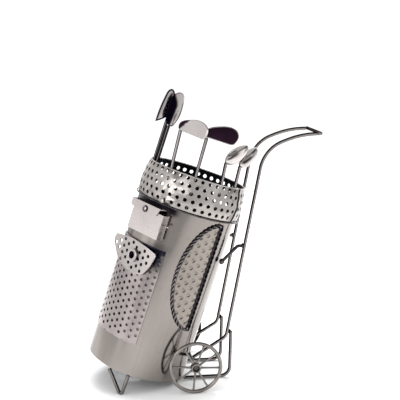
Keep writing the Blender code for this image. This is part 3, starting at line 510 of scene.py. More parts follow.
def flat_sheet(outline, holes, thickness, inner=()):
    """A bmesh of a flat outline with convex holes and inner points, centred on z = 0."""
    loops = [outline, *holes]
    points = [Vector(point) for loop in loops for point in loop] + [Vector(p) for p in inner]
    owners = [number for number, loop in enumerate(loops) for _ in loop] + [0] * len(inner)
    edges = []
    for loop in loops:
        first = len(edges)
        edges += [(first + i, first + (i + 1) % len(loop)) for i in range(len(loop))]
    points, _, triangles, origins, *_ = delaunay_2d_cdt(points, edges, [], 1, 1e-8)
    bm = bmesh.new()
    verts = [bm.verts.new((point.x, point.y, -thickness / 2)) for point in points]
    for triangle in triangles:
        touched = {owners[origins[i][0]] if origins[i] else 0 for i in triangle}
        if len(touched) > 1 or 0 in touched:
            bm.faces.new([verts[i] for i in triangle])
    raised = bmesh.ops.extrude_face_region(bm, geom=bm.faces[:])["geom"]
    lifted = [item for item in raised if isinstance(item, bmesh.types.BMVert)]
    bmesh.ops.translate(bm, vec=(0, 0, thickness), verts=lifted)
    return bm


def turned(bm, profile, place, segments, bumps=0.0):
    """Adds a closed profile of (radius, height) points, turned round the place's Z, to a bmesh."""
    rows = []
    for radius, height in profile:
        rows.append([])
        for a in angles_round(segments):
            spot = Vector((cos(a), sin(a), 0))
            grown = radius + bumps * noise.noise(spot * 3 + Vector((0, 0, height * 400)))
            rows[-1].append(bm.verts.new(place @ (spot * grown + Vector((0, 0, height)))))
    for first, second in zip(rows, rows[1:] + rows[:1]):
        bridge(bm, first, second)


def blob(bm, centre, size, rough, turn=Matrix()):
    """Adds a drop of weld: an uneven ellipsoid."""
    made = bmesh.ops.create_uvsphere(bm, u_segments=20, v_segments=10, radius=1)["verts"]
    for vert in made:
        spot = vert.co.copy()
        grown = 1 + rough * noise.noise(spot * 2 + centre * 900)
        vert.co = centre + turn.to_3x3() @ Vector((spot.x * size[0], spot.y * size[1], spot.z * size[2])) * grown


# Bag shell: a smooth tube, slightly out of round

def shell_radius(angle, height):
    """Hand-rolled sheet: slow waves of a few tenths of a millimetre."""
    wave = noise.noise(Vector((cos(angle) * 1.6, sin(angle) * 1.6, height * 22)))
    return BAG_RADIUS - 0.15 * MM + 0.15 * MM * wave


def make_shell():
    """The tube, with painted shade where other pieces hide it or stand close."""
    levels = [BAG_LENGTH * i / 40 for i in range(41)]
    bm = bmesh.new()
    rows = [[bm.verts.new(bag_point(a, shell_radius(a, h) - inset, h)) for a in angles_round(160)]
            for inset, heights in ((0, levels), (SHEET, levels[::-1])) for h in heights]
    for first, second in zip(rows, rows[1:] + rows[:1]):
        bridge(bm, first, second)
    line_inside(bm, -0.5)
    back = BAG.inverted()
    rim = 1.2
    panel_half = degrees(PANEL_ARC / 2) - rim
    panel_low, panel_high = PANEL_BOTTOM / MM + rim, PANEL_TOP / MM - rim
    rope_half = SIDE_LENGTH / 2 / MM
    shares = []
    for vert in bm.verts:
        x, y, up = (back @ vert.co) / MM
        turn = degrees(atan2(-y, -x))
        # Painted shade behind the panel, the tray's painted shadow, painted shade over the lid and beside the rope,
        # darker low at the front, and black inside the collar.
        behind_panel = abs(turn - degrees(PANEL_ANGLE)) < panel_half and panel_low < up < panel_high
        hidden = 0.9 - 0.55 * rise(turn, 25, 58) if behind_panel else 0.0
        under_tray = 0.5 * bell(turn, 60, 13) * bell(up, 111.5, 3)
        over_lid = rise(up, 138.5, 143) * rise(turn, 75, 66) * rise(turn, -8, 3)
        level = rise(abs(up - SIDE_MIDDLE / MM), rope_half, rope_half - 4)
        beside_rope = 0.9 * level * bell(turn, degrees(SIDE_REAR) + 1.5, 2.4, 4)
        at_toe = 0.4 * rise(turn, -30, -15) * rise(turn, 24, 8) * rise(up, 34, 26)
        in_collar = up > COLLAR_BOTTOM / MM
        shares.append(1.0 if in_collar else max(hidden, under_tray, over_lid, beside_rope, at_toe))
    painted_shading(bm, shares)
    dress("bag_shell", bm, [BAG_STEEL, INSIDE_SHADE], "bag_steel")


make_shell()


# Collar: a perforated strip with dents, its ends overlapping in a torn seam

def collar_radius(height):
    share = (height - COLLAR_BOTTOM) / (COLLAR_TOP - COLLAR_BOTTOM)
    bottom = BAG_RADIUS + GAP + SHEET
    cone = bottom + share * (COLLAR_TOP_RADIUS - bottom)
    return cone + 4 * COLLAR_BULGE * share * (1 - share) - SHEET / 2


DENTS = ((49.5, 153.5, 1.7, 5.5, -1.3), (54, 151, 2.4, 2.5, 0.5), (58, 155.2, 6.5, 1.0, -0.6), (62, 165, 7, 3, 0.35),
         (84, 172.5, 4, 1.6, -0.7), (97, 166, 6, 3, -0.3), (30, 152, 5, 2.5, -0.4), (118, 160, 7, 4, -0.35),
         (110, 171, 3, 2, -0.5), (133, 152, 4, 3, -0.6), (128, 168, 3, 3, -0.5), (200, 160, 12, 6, -0.7),
         (260, 158, 14, 6, -0.8), (320, 165, 12, 6, -0.7))
COLLAR_LAP = radians(2.4)
COLLAR_REAR_SINK = 3.6 * MM
COLLAR_EDGE = 0.62 * MM


def collar_dent(angle, height):
    """Dents, each (degrees, mm up, degrees wide, mm tall, mm deep), and a general crumple."""
    total = 0.0
    for at, up, wide, tall, depth in DENTS:
        away = (degrees(angle) - at + 180) % 360 - 180
        total += depth * MM * bell(away, 0, wide) * bell(height / MM, up, tall)
    spot = Vector((cos(angle) * 5, sin(angle) * 5, height * 130))
    total += 0.19 * MM * noise.noise(spot) + 0.10 * MM * noise.noise(spot * 3.1)
    fade = min(1, (height - COLLAR_BOTTOM) / (4 * MM), (COLLAR_TOP - height) / (5 * MM) + 0.25)
    return total * max(0.15, fade) - 0.3 * MM


def collar_jag(height):
    """How far the torn end reaches past the seam at a height."""
    share = (height - COLLAR_BOTTOM) / (COLLAR_TOP - COLLAR_BOTTOM)
    return COLLAR_LAP * (0.45 + 0.35 * sin(9 * share + 0.5) + 0.2 * sin(23 * share))


def make_collar():
    start = COLLAR_SEAM - 2 * pi
    radius = 45 * MM
    steps = 24
    levels = [COLLAR_TOP + (COLLAR_BOTTOM - COLLAR_TOP) * i / steps for i in range(steps + 1)]
    torn = [((start - collar_jag(h)) * radius, h) for h in levels]
    end = (COLLAR_SEAM + radians(0.6)) * radius
    outline = torn[:-1] + along_corners([torn[-1], (end, COLLAR_BOTTOM), (end, COLLAR_TOP), torn[0]], 1.6 * MM)
    centres = []
    for number, row in enumerate(COLLAR_ROWS):
        shift = 0 if number % 2 == 0 else 0.5
        first = ceil((start + radians(2.5) - COLLAR_LATTICE_ANGLE) / COLLAR_PITCH - shift)
        last = floor((COLLAR_SEAM - radians(4.5) - COLLAR_LATTICE_ANGLE) / COLLAR_PITCH - shift)
        for k in range(first, last + 1):
            angle = COLLAR_LATTICE_ANGLE + (k + shift) * COLLAR_PITCH
            height = row * MM - COLLAR_REAR_SINK * (1 - rise(angle, radians(-50), radians(-5)))
            if height - COLLAR_HOLE > COLLAR_BOTTOM + 0.2 * MM:
                centres.append(Vector((angle * radius, height)))
    tree = nearest_of([(*centre, 0) for centre in centres])
    spacing = 1.3 * MM
    inner = []
    for i in range(1, int((end - start * radius) / spacing)):
        for k in range(1, int((COLLAR_TOP - COLLAR_BOTTOM) / spacing)):
            spot = (start * radius + (i + 0.5 * (k % 2)) * spacing, COLLAR_BOTTOM + (k + 0.3) * spacing, 0)
            if tree.find(spot)[2] > COLLAR_HOLE + 0.5 * MM:
                inner.append(spot[:2])
    holes = [ring_points(*centre, COLLAR_HOLE, 14) for centre in centres]
    bm = flat_sheet(outline, holes, SHEET * 0.8, inner)
    shares = []
    for vert in bm.verts:
        x, y, z = vert.co
        angle = x / radius
        lift = SHEET * 0.9 * (1 - rise(angle, start, start + radians(3.5)))
        turn = degrees(angle)
        seam = degrees(COLLAR_SEAM - collar_jag(y))
        # Painted shade under the lapping torn end and in broad zones before and at the seam.
        before_seam = 0.36 * rise(turn, 98, 110) * rise(y / MM, 152, 158)
        at_seam = 0.42 * max(rise(turn, 126, 135), rise(turn, -190, -204))
        shares.append(max(rise(turn, seam - 1.9, seam - 0.9), before_seam, at_seam))
        vert.co = bag_point(angle, collar_radius(y) + collar_dent(angle, y) + z + lift, y)
    painted_shading(bm, shares)
    line_inside(bm, -0.4)
    dress("collar", bm, [COLLAR_STEEL, INSIDE_SHADE], "bright_steel", sharp=radians(50))

    around = angles_round(180)
    bead = []
    for a in around:
        spot = Vector((cos(a), sin(a), 0))
        reach = BAG_RADIUS + 2 * GAP + SHEET + 0.7 * MM + 0.12 * MM * noise.noise(spot * 6)
        sag = 0.25 * MM * noise.noise(spot * 5 + Vector((0, 0, 2)))
        bead.append(bag_point(a, reach, COLLAR_BOTTOM + 0.7 * MM + sag))
    bm = bmesh.new()
    tube(bm, bead, COLLAR_EDGE, 10, True)
    dress("collar_bead", bm, SHADED_EDGE_STEEL, "bright_steel")
    lip = [bag_point(a, collar_radius(COLLAR_TOP) + collar_dent(a, COLLAR_TOP), COLLAR_TOP - 0.45 * MM)
           for a in around]
    bm = bmesh.new()
    tube(bm, lip, COLLAR_EDGE, 10, True, 0.12)
    piece("collar_lip", bm, HEAD_STEEL, "bright_steel")


make_collar()


# Large pocket: perforated panel, flap and ring

FLAP_LATTICE = (12.4 * MM, 105.5 * MM)
FLAP_LATTICE_TURN = radians(2.8)
FLAP_COLUMN = 5.05 * MM
FLAP_EDGE = ((-26.1, 106.9, True), (-26.5, 103.2), (-25.4, 100.3), (-23.5, 97.6), (-21.2, 94.9), (-18.4, 91.6),
             (-15.3, 89.0), (-11.5, 86.8), (-6.0, 84.9), (0, 84.0), (7.0, 84.0), (12.0, 84.7), (15.6, 85.9),
             (18.6, 88.6), (20.6, 91.9), (22.4, 95.8), (23.5, 99.6), (24.1, 103.0), (24.5, 106.0, True),
             (23.8, 107.3, True), (13.9, 109.1), (0.4, 110.2), (-6.5, 110.4), (-14.0, 109.7), (-25.1, 107.9, True))
FLAP_RING = (0.9 * MM, 97.8 * MM)
FLAP_HOLE = 1.5 * MM
FLAP_RING_OUTER = 5.8 * MM
FLAP_RING_INNER = 3.1 * MM


def make_large_pocket():
    radius = BAG_RADIUS + GAP + SHEET / 2
    left = PANEL_ANGLE - PANEL_ARC / 2
    right = PANEL_ANGLE + PANEL_ARC / 2
    holes = []
    notches = []
    for k in range(-7, 9):
        a = PANEL_LATTICE_ANGLE + k * PANEL_COLUMN_STEP
        if not left + radians(1.9) < a < right - radians(1.9):
            continue
        for n in range(-1, 16):
            h = PANEL_LATTICE_HEIGHT + (n + 0.5 * (k % 2)) * PANEL_PITCH
            if h - PANEL_HOLE < PANEL_BOTTOM + 0.4 * MM:
                if k % 2 == 0:
                    notches.append(a)
                continue
            if h + PANEL_HOLE < PANEL_TOP - 0.4 * MM:
                holes.append(ring_points(a * radius, h, PANEL_HOLE, 12))
    bite = PANEL_HOLE * 0.85
    outline = []
    start = (left * radius, PANEL_BOTTOM)
    for x in (a * radius for a in notches):
        outline += edge_points(start, (x - bite, PANEL_BOTTOM), STEP)
        outline += [(x - bite * cos(pi * i / 6), PANEL_BOTTOM + bite * sin(pi * i / 6)) for i in range(6)]
        start = (x + bite, PANEL_BOTTOM)
    corners = [start, (right * radius, PANEL_BOTTOM), (right * radius, PANEL_TOP), (left * radius, PANEL_TOP),
               (left * radius, PANEL_BOTTOM)]
    bm = flat_sheet(outline + along_corners(corners, STEP), holes, SHEET * 0.9)
    edge = [(x * MM, y * MM) for x, y, *_ in FLAP_EDGE]
    shares = []
    for vert in bm.verts:
        x, y, z = vert.co
        a = x / radius
        # Painted shade behind the flap, the flap's painted shadow above it, a faint painted bluish shade, and painted
        # shade on the top right corner.
        across = radius * tan(a - PANEL_ANGLE)
        under_flap = clear_inside(edge, Vector((across, y)), 0.8 * MM)
        turn, up = degrees(a), y / MM
        above_flap = rise(turn, 34, 44) * rise(up, 105.3, 106.8)
        blue = 0.12 * bell(turn, 56, 7) * bell(up, 84, 24, 4)
        mottle = 0.5 + noise.noise(Vector((a * 40, y * 900, 0)))
        corner = bell(turn, 64, 9) * bell(up, 104, 11, 4) * (0.85 + 0.5 * mottle)
        shares.append(1.0 if under_flap else min(1, max(0, blue, above_flap, corner)))
        wave = 0.12 * MM * noise.noise(Vector((a * 6, y * 60, 0)))
        vert.co = bag_point(a, radius + z + wave, y)
    painted_shading(bm, shares)
    dress("large_pocket_panel", bm, PANEL_STEEL, "bright_steel")


def make_flap():
    reach = BAG_RADIUS + 2 * GAP + 1.5 * SHEET
    edge = [(x * MM, y * MM) for x, y in smooth_loop(FLAP_EDGE, 3)]
    edge = [point for point, after in zip(edge, edge[1:] + edge[:1])
            if (Vector(point) - Vector(after)).length > 0.2 * MM]
    holes = [ring_points(*FLAP_RING, FLAP_RING_INNER + 0.4 * MM, 24)]
    turn = Matrix.Rotation(FLAP_LATTICE_TURN, 2)
    for column in range(-9, 5):
        for row in range(-6, 4):
            step = turn @ Vector((column * FLAP_COLUMN, (row - 0.5 * (column % 2)) * PANEL_PITCH))
            spot = Vector(FLAP_LATTICE) + step
            away = (spot - Vector(FLAP_RING)).length
            if away > FLAP_RING_OUTER + 0.8 * MM and clear_inside(edge, spot, 1.3 * FLAP_HOLE):
                holes.append(ring_points(spot.x, spot.y, FLAP_HOLE, 12))
    bm = flat_sheet(edge, holes, SHEET * 0.9)
    place = bag_place(PANEL_ANGLE, reach)
    for vert in bm.verts:
        x, y, z = vert.co
        wave = 0.05 * MM * noise.noise(Vector((x * 90, y * 90, 0)))
        fall = 0.9 * MM * max(0, (x - 8 * MM) / (17 * MM)) ** 2
        vert.co = place @ Vector((x, y, z - 0.05 * MM + wave - fall))
    dress("large_pocket_flap", bm, POCKET_STEEL, "bright_steel")
    bm = bmesh.new()
    middle = (FLAP_RING_OUTER + FLAP_RING_INNER) / 2
    half = (FLAP_RING_OUTER - FLAP_RING_INNER) / 2
    profile = [(middle + half * copysign_power(cos(a), 0.45), 0.95 * MM + 0.93 * MM * copysign_power(sin(a), 0.6))
               for a in angles_round(20)]
    ring_place = bag_place(PANEL_ANGLE, reach + SHEET / 2 + GAP, *FLAP_RING)
    turned(bm, profile, ring_place, 40)
    dress("large_pocket_ring", bm, POCKET_STEEL, "bright_steel")


make_large_pocket()
make_flap()


# Side pocket: embossed D panel, and the twisted rope round it

DIMPLE_ANGLE = radians(110)
DIMPLE_HEIGHT = 60.3 * MM
DIMPLE_STEP = 5.9 * MM
DIMPLE_PITCH = 6.67 * MM
DIMPLE_RADIUS = 1.5 * MM
SHADED = Vector((0.75, -0.66))


def side_outline(steps, inset=0.0):
    """Points (arc from the rear edge, height) round the D, moved inwards by an inset."""
    half = SIDE_LENGTH / 2
    depth = SIDE_ARC * BAG_RADIUS
    curve = [(-inset - (depth - 2 * inset) * sin(a), SIDE_MIDDLE + (half - inset * 1.6) * cos(a))
             for a in (pi * i / steps for i in range(steps + 1))]
    return curve + edge_points(curve[-1], curve[0], SIDE_LENGTH / steps)[1:]


def nearest_dimple(x, y, radius):
    """The offset from the nearest dimple's middle, in dimple radii."""
    column = round((x / radius + SIDE_REAR - DIMPLE_ANGLE) * radius / DIMPLE_STEP)
    offsets = []
    for c in (column - 1, column, column + 1):
        cx = radius * (DIMPLE_ANGLE - SIDE_REAR) + c * DIMPLE_STEP
        low = DIMPLE_HEIGHT if c % 2 == 0 else DIMPLE_HEIGHT - DIMPLE_PITCH / 2
        cy = low + round((y - low) / DIMPLE_PITCH) * DIMPLE_PITCH
        offsets.append(Vector((x - cx, y - cy)) / DIMPLE_RADIUS)
    return min(offsets, key=lambda offset: offset.length)


def make_side_panel():
    radius = BAG_RADIUS + GAP + SHEET / 2
    outline = side_outline(44, ROPE_RADIUS + 0.2 * MM)
    spacing = 0.5 * MM
    inner = []
    half = SIDE_LENGTH / 2
    for i in range(int(SIDE_ARC * radius / spacing)):
        for k in range(int(SIDE_LENGTH / spacing)):
            x = -(i + 0.5 * (k % 2)) * spacing
            y = SIDE_MIDDLE - half + k * spacing
            level = (y - SIDE_MIDDLE) / (half - 2.6 * MM)
            if abs(level) < 1:
                reach = (SIDE_ARC * BAG_RADIUS - 3.4 * MM) * sqrt(1 - level ** 2)
                if -reach - 1.2 * MM < x < -2.2 * MM:
                    inner.append((x, y))
    bm = flat_sheet(outline, [], SHEET * 0.7, inner)
    crescents = []
    for vert in bm.verts:
        x, y, z = vert.co
        offset = nearest_dimple(x, y, radius)
        raised = 0.70 * MM * exp(-1.2 * offset.length ** 2) if z > 0 else 0
        # Painted shade: a crescent on each dimple's lower right slope, and the rope's painted shadow beside it.
        turned_away = max(0, offset.normalized().dot(SHADED)) if offset.length > 0.01 else 0
        crescent = 2.2 * turned_away ** 1.2 * bell(offset.length, 0.85, 0.36)
        beside_rope = rise(x + 0.5 * MM * sin(y / (0.75 * MM)), -4.3 * MM, -3.6 * MM)
        crescents.append(min(1, max(crescent, beside_rope)))
        vert.co = bag_point(SIDE_REAR + x / radius, radius + z + raised - 0.1 * MM, y)
    painted_shading(bm, crescents)
    dress("side_pocket_panel", bm, DIMPLED_STEEL, "bright_steel")


def make_rope():
    """Two strands twisted round each other; painted shade lies where they meet and along the straight side."""
    straight = []
    loop = [bag_point(SIDE_REAR + x / BAG_RADIUS, BAG_RADIUS + GAP + ROPE_RADIUS, y) for x, y in side_outline(60)]
    path = resampled(loop, 0.35 * MM, True)
    tree = nearest_of(path)
    strands = [[], []]
    travelled = 0.0
    total = sum((path[i] - path[i - 1]).length for i in range(len(path)))
    twists = round(total / ROPE_TWIST)
    for i, point in enumerate(path):
        travelled += (point - path[i - 1]).length if i else 0
        tangent = (path[(i + 1) % len(path)] - path[i - 1]).normalized()
        straight.append(tangent.dot(BAG_AXIS) > 0.985)
        out = outward(point)
        out = (out - tangent * out.dot(tangent)).normalized()
        other = tangent.cross(out)
        for number, strand in enumerate(strands):
            a = 2 * pi * twists * travelled / total + pi * number
            strand.append(point + (out * cos(a) + other * sin(a)) * ROPE_RADIUS * 0.47)
    rear = BAG_TURN @ Vector((sin(SIDE_REAR), -cos(SIDE_REAR), 0))
    bm = bmesh.new()
    for strand in strands:
        tube(bm, strand, ROPE_RADIUS * 0.52, 8, True, 0.10)

    # Painted shade in the grooves between the strands, and on the straight side but for its rear.
    def rope_shade(vert):
        centre, index, away = tree.find(vert.co)
        groove = 1 - rise(away, ROPE_RADIUS * 0.74, ROPE_RADIUS * 0.96)
        if not straight[index]:
            return groove
        side = (vert.co - centre).dot(rear) / ROPE_RADIUS
        return 1 - rise(side, 0.55, 0.95) * (1 - 0.5 * groove)

    painted_shading(bm, [rope_shade(vert) for vert in bm.verts])
    dress("side_pocket_rope", bm, ROPE_STEEL, "dark_rope")


make_side_panel()
make_rope()


# Wheels

def make_wheel(name, side):
    place = Matrix.Translation((AXLE_X, side * WHEEL_Y, WHEEL_RADIUS)) @ Matrix.Rotation(-side * pi / 2, 4, "X")
    rim_radius = WHEEL_RADIUS - RIM_WIRE
    bm = bmesh.new()
    route = [place @ Vector((x, y, 0)) for x, y in ring_points(0, 0, rim_radius, 120)]
    tube(bm, route, RIM_WIRE * 0.985, 16, True, 0.025)
    # Painted shade on the rim's side that faces the bag.
    painted_shading(bm, [0.9 * rise(-vert.co.y * side, RIM_WIRE * 0.2 - WHEEL_Y, RIM_WIRE * 0.6 - WHEEL_Y) for vert in bm.verts])
    dress(name + "_rim", bm, WHEEL_STEEL, "wheel_steel", body=name)

    outer = (HUB_HIGH.z - HUB_LOW.z) / 2
    end = (HUB_HIGH.y - HUB_LOW.y) / 2
    bore = WIRE + GAP
    bm = bmesh.new()
    profile = [(outer - 0.5 * MM, end), (outer - 0.12 * MM, end - 0.15 * MM), (outer, end - 0.6 * MM),
               (outer, -end + 0.5 * MM), (outer - 0.5 * MM, -end), (bore, -end), (bore, end - 2.4 * MM),
               (2.5 * MM, end - 2.4 * MM), (2.7 * MM, end - 0.4 * MM), (3.0 * MM, end)]
    turned(bm, profile, place, 40, 0.04 * MM)
    back = place.inverted()
    # Painted shade in the hub's recess.
    painted_shading(bm, [1.0 if (back @ vert.co).xy.length < 2.75 * MM else 0.0 for vert in bm.verts])
    dress(name + "_hub", bm, WHEEL_STEEL, "wheel_steel", body=name)

    for number, angle in enumerate(SPOKE_ANGLES, 1):
        seen = angle if side < 0 else pi - angle
        turn = place @ Matrix.Rotation(seen, 4, "Z")
        inner_end = outer + 0.05 * MM
        outer_end = rim_radius - RIM_WIRE * 0.9
        route = [turn @ Vector((inner_end + (outer_end - inner_end) * i / 14,
                                0.15 * MM * noise.noise(Vector((i * 0.3, number * 7, side))), 0)) for i in range(15)]
        bm = bmesh.new()
        tube(bm, route, lambda s: SPOKE * (1 + 0.55 * exp(-s * 14) + 0.45 * exp(-(1 - s) * 16)), 12, False, 0.04)
        dress(f"{name}_spoke_{number}", bm, WHEEL_STEEL, "wheel_steel", body=name)


make_wheel("near_wheel", -1)
make_wheel("far_wheel", 1)


# Trolley

def rail_x(z):
    return RAIL_FOOT_X + (z - RAIL_FOOT_Z) * tan(RAIL_LEAN)


def paint_wire_shade(bm, route):
    """Paints shade on the front or upper side of a wire in a plane across Y, and less on its other side."""
    tree = nearest_of(route)
    shares = []
    for vert in bm.verts:
        centre, i, _ = tree.find(vert.co)
        tangent = (route[min(i + 1, len(route) - 1)] - route[max(i - 1, 0)]).normalized()
        front = (vert.co - centre).dot(tangent.cross(Vector((0, 1, 0)))) / WIRE
        shares.append(rise(front, 0.20, 0.40) + 0.8 * rise(-front, 0.45, 0.75))
    painted_shading(bm, shares)


def make_trolley():
    reach = 2 * WIRE + GAP
    for name, side in (("near", -1), ("far", 1)):
        y = side * RAIL_Y
        axle = Vector((AXLE_X, y, WHEEL_RADIUS))
        foot = Vector((RAIL_FOOT_X, y, RAIL_FOOT_Z))
        to_axle = axle - foot
        slope = atan2(-to_axle.z, -to_axle.x) + asin(reach / to_axle.length)
        end = foot + Vector((-cos(slope), 0, -sin(slope))) * sqrt(to_axle.length ** 2 - reach ** 2)
        shoulder = Vector((rail_x(RAIL_SHOULDER_Z), y, RAIL_SHOULDER_Z))
        brow = Vector((RAIL_BROW_X, y, GRIP_Z))
        grip_end = Vector((GRIP_X - (WIRE + GAP if side > 0 else GRIP_CORNER), y, GRIP_Z))
        route = bent([(end, 0), *zip((foot, shoulder, brow), RAIL_BENDS), (grip_end, 0)])
        bm = bmesh.new()
        tube(bm, route, WIRE_LOOK, 24, uneven=0.015)
        paint_wire_shade(bm, route)
        dress(name + "_rail", bm, WIRE_STEEL, "trolley_steel")

        behind = reach / cos(RAIL_LEAN)
        top = Vector((rail_x(LEG_TOP_Z) + behind, y, LEG_TOP_Z))
        heel = Vector((top.x - 1.0 * MM, y, WIRE))
        toe = Vector((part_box(name + "_leg")[0].x, y, TOE_Z))
        route = bent([(toe, 0), (heel, 8 * MM), (top, 0)])
        bm = bmesh.new()
        tube(bm, route, WIRE_LOOK, 24, uneven=0.015)
        weld = top + Vector((-0.9 * WIRE, 0, -0.3 * MM))
        blob(bm, weld, (1.5 * MM, 1.5 * MM, 2.1 * MM), 0.35)
        paint_wire_shade(bm, route)
        dress(name + "_leg", bm, WIRE_STEEL, "trolley_steel")

        ball_reach = BAG_RADIUS + GAP + STRUT_BALL
        ball = bag_point(-side * STRUT_BAG_ANGLE, ball_reach, STRUT_BAG_HEIGHT)
        room = (WIRE + GAP) / cos(RAIL_LEAN) + WIRE * tan(RAIL_LEAN)
        start = Vector((rail_x(STRUT_RAIL_Z) - room, y, STRUT_RAIL_Z))
        bend = start - Vector((4 * MM, 0, 0))
        start = start + Vector((room * 0.7, 0, 0))
        bm = bmesh.new()
        tube(bm, bent([(start, 0), (bend, 3 * MM), (ball, 0)]), WIRE_LOOK)
        blob(bm, ball, (STRUT_BALL * 0.92, STRUT_BALL * 0.88, STRUT_BALL * 0.95), 0.3, BAG)
        blob(bm, start + Vector((-1.2 * MM, 0, 0)), (1.4 * MM, 1.9 * MM, 2.2 * MM), 0.3)
        dress(name + "_strut", bm, DARK_WIRE, "trolley_steel")

    near = Vector((GRIP_X - GRIP_CORNER, -RAIL_Y, GRIP_Z))
    corner = Vector((GRIP_X, -RAIL_Y, GRIP_Z))
    far = Vector((GRIP_X, RAIL_Y + WIRE + 1.8 * MM, GRIP_Z))
    bm = bmesh.new()
    tube(bm, bent([(near, 0), (corner, 2.2 * MM), (far, 0)]), WIRE_LOOK, uneven=0.005)
    dress("grip_bar", bm, WIRE_STEEL, "trolley_steel")


make_trolley()

# The axle and base plate take near-black steels as painted shade; the foot, tray, lid and pin take steels with painted
# shade on some faces.
for node, material in (("axle", SHADED_EDGE_STEEL), ("front_foot", FOOT_STEEL), ("base_plate", INSIDE_SHADE),
                       ("small_pocket_tray", TRAY_STEEL), ("small_pocket_lid", TRAY_STEEL),
                       ("small_pocket_pin", TRAY_STEEL)):
    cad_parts[node].data.materials.clear()
    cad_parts[node].data.materials.append(material)


# Rivet of the small pocket

SMALL_POCKET_ANGLE = radians(42)
RIVET_RADIUS = 2.95 * MM
RIVET_DEPTH = 0.95 * MM
RIVET_PROFILE = ((0.10, 0.55), (0.34, 0.50), (0.42, 0.42), (0.50, 0.40), (0.58, 0.62), (0.66, 0.90), (0.74, 1.0),
                 (0.84, 0.95), (0.93, 0.75), (0.98, 0.45), (1.0, 0.05))


def make_rivet():
    """A hollow rivet head: a light rim round a light middle, with painted shade in the hollow's left and at the rim's
    right.
    """
    low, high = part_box("small_pocket_rivet")
    place = bag_place(SMALL_POCKET_ANGLE, 0)
    place.translation = (low + high) / 2 - place.col[2].xyz * RIVET_DEPTH / 2
    bm = bmesh.new()
    rows = []
    shares = []
    for share, level in RIVET_PROFILE:
        rows.append([])
        for x, y in ring_points(0, 0, 1, 48):
            flat = share * RIVET_RADIUS
            rows[-1].append(bm.verts.new(place @ Vector((x * flat, y * flat, level * RIVET_DEPTH))))
            at_rim = rise(share, 0.66, 0.80) * rise(x, -0.4, 0.1)
            shares.append(max(at_rim, bell(share, 0.48, 0.17) * rise(-x, -0.5, 0.1)))
    for first, second in zip(rows, rows[1:]):
        bridge(bm, first, second)
    bm.faces.new(rows[0])
    bm.faces.new(rows[-1])
    painted_shading(bm, shares)
    dress("small_pocket_rivet", bm, RIVET_STEEL, "bright_steel")


make_rivet()


# Clubs

CLUB_RADIUS = COLLAR_TOP_RADIUS - SHEET - GAP - WIRE
CLUB_DEPTH = 30 * MM
HEAD_THICKNESS = 1.3 * MM
WOOD_TOP = 196.0


def club_line(rim_angle, top_angle, top_height):
    """Where a shaft starts and ends, from degrees round the bag and millimetres up it."""
    def spot(turn, height):
        angle = radians(turn)
        return Vector((-CLUB_RADIUS * cos(angle), -CLUB_RADIUS * sin(angle), height))
    rim = spot(rim_angle, COLLAR_TOP)
    top = spot(top_angle, top_height * MM)
    slope = (top - rim) / (top_height * MM - COLLAR_TOP)
    return BAG @ (rim - slope * CLUB_DEPTH), BAG @ top


def domed_plate(outline, place, dome, dish):
    """A plate with a rounded edge whose two faces rise towards its middle."""
    middle = Vector((sum(x for x, _ in outline) / len(outline), sum(y for _, y in outline) / len(outline)))
    bm = bmesh.new()
    shares = [0.1, 0.2, 0.3, 0.4, 0.5, 0.6, 0.7, 0.78, 0.85, 0.90, 0.94, 0.97, 0.99]

    def level(share):
        edge = HEAD_THICKNESS / 2 * sqrt(max(0, 1 - max(0, (share - 0.90) / 0.10) ** 2))
        return edge + dome * (1 - share ** 2)

    def row(share, sign):
        return [bm.verts.new(place @ Vector((*(middle + (Vector(p) - middle) * share),
                                             sign * level(share) - (dish if sign > 0 else 0) * (1 - share ** 2))))
                for p in outline]

    rim = row(1.0, 0)
    for sign in (1, -1):
        rows = [row(s, sign) for s in shares] + [rim]
        centre = bm.verts.new(place @ Vector((*middle, sign * level(0) - (dish if sign > 0 else 0))))
        for spot, after in zip(rows[0], rows[0][1:] + rows[0][:1]):
            bm.faces.new((centre, spot, after))
        for first, second in zip(rows, rows[1:]):
            bridge(bm, first, second)
    return bm


def shaft(number, start, end, dark):
    """A drawn wire with painted shade in stripes along it, a function of how far round it faces the bag's rear."""
    bm = bmesh.new()
    tube(bm, resampled([start, end], STEP), WIRE_LOOK, 48, uneven=0.006)
    axis = (end - start).normalized()
    rear = Vector((0, 1, 0)).cross(axis).normalized()
    off_axis = [vert.co - start - axis * (vert.co - start).dot(axis) for vert in bm.verts]
    painted_shading(bm, [dark(way.normalized().dot(rear)) for way in off_axis])
    dress(f"club_{number}_shaft", bm, SHAFT_STEEL, "trolley_steel")


def dark_sides(rear):
    """Painted shade on the two sides."""
    return 0.95 * rise(abs(rear + 0.12), 0.36, 0.56)


def light_lines(rear):
    """Painted shade all over but for two thin lines, left light as painted highlights."""
    return 1 - 0.9 * bell(rear, -0.50, 0.07) - 0.6 * bell(rear, 0.30, 0.07)


def dark_front(rear):
    """Painted shade on the front side, and a little behind."""
    return 0.95 * rise(-rear, 0.30, 0.50) + 0.7 * rise(rear, 0.45, 0.75)


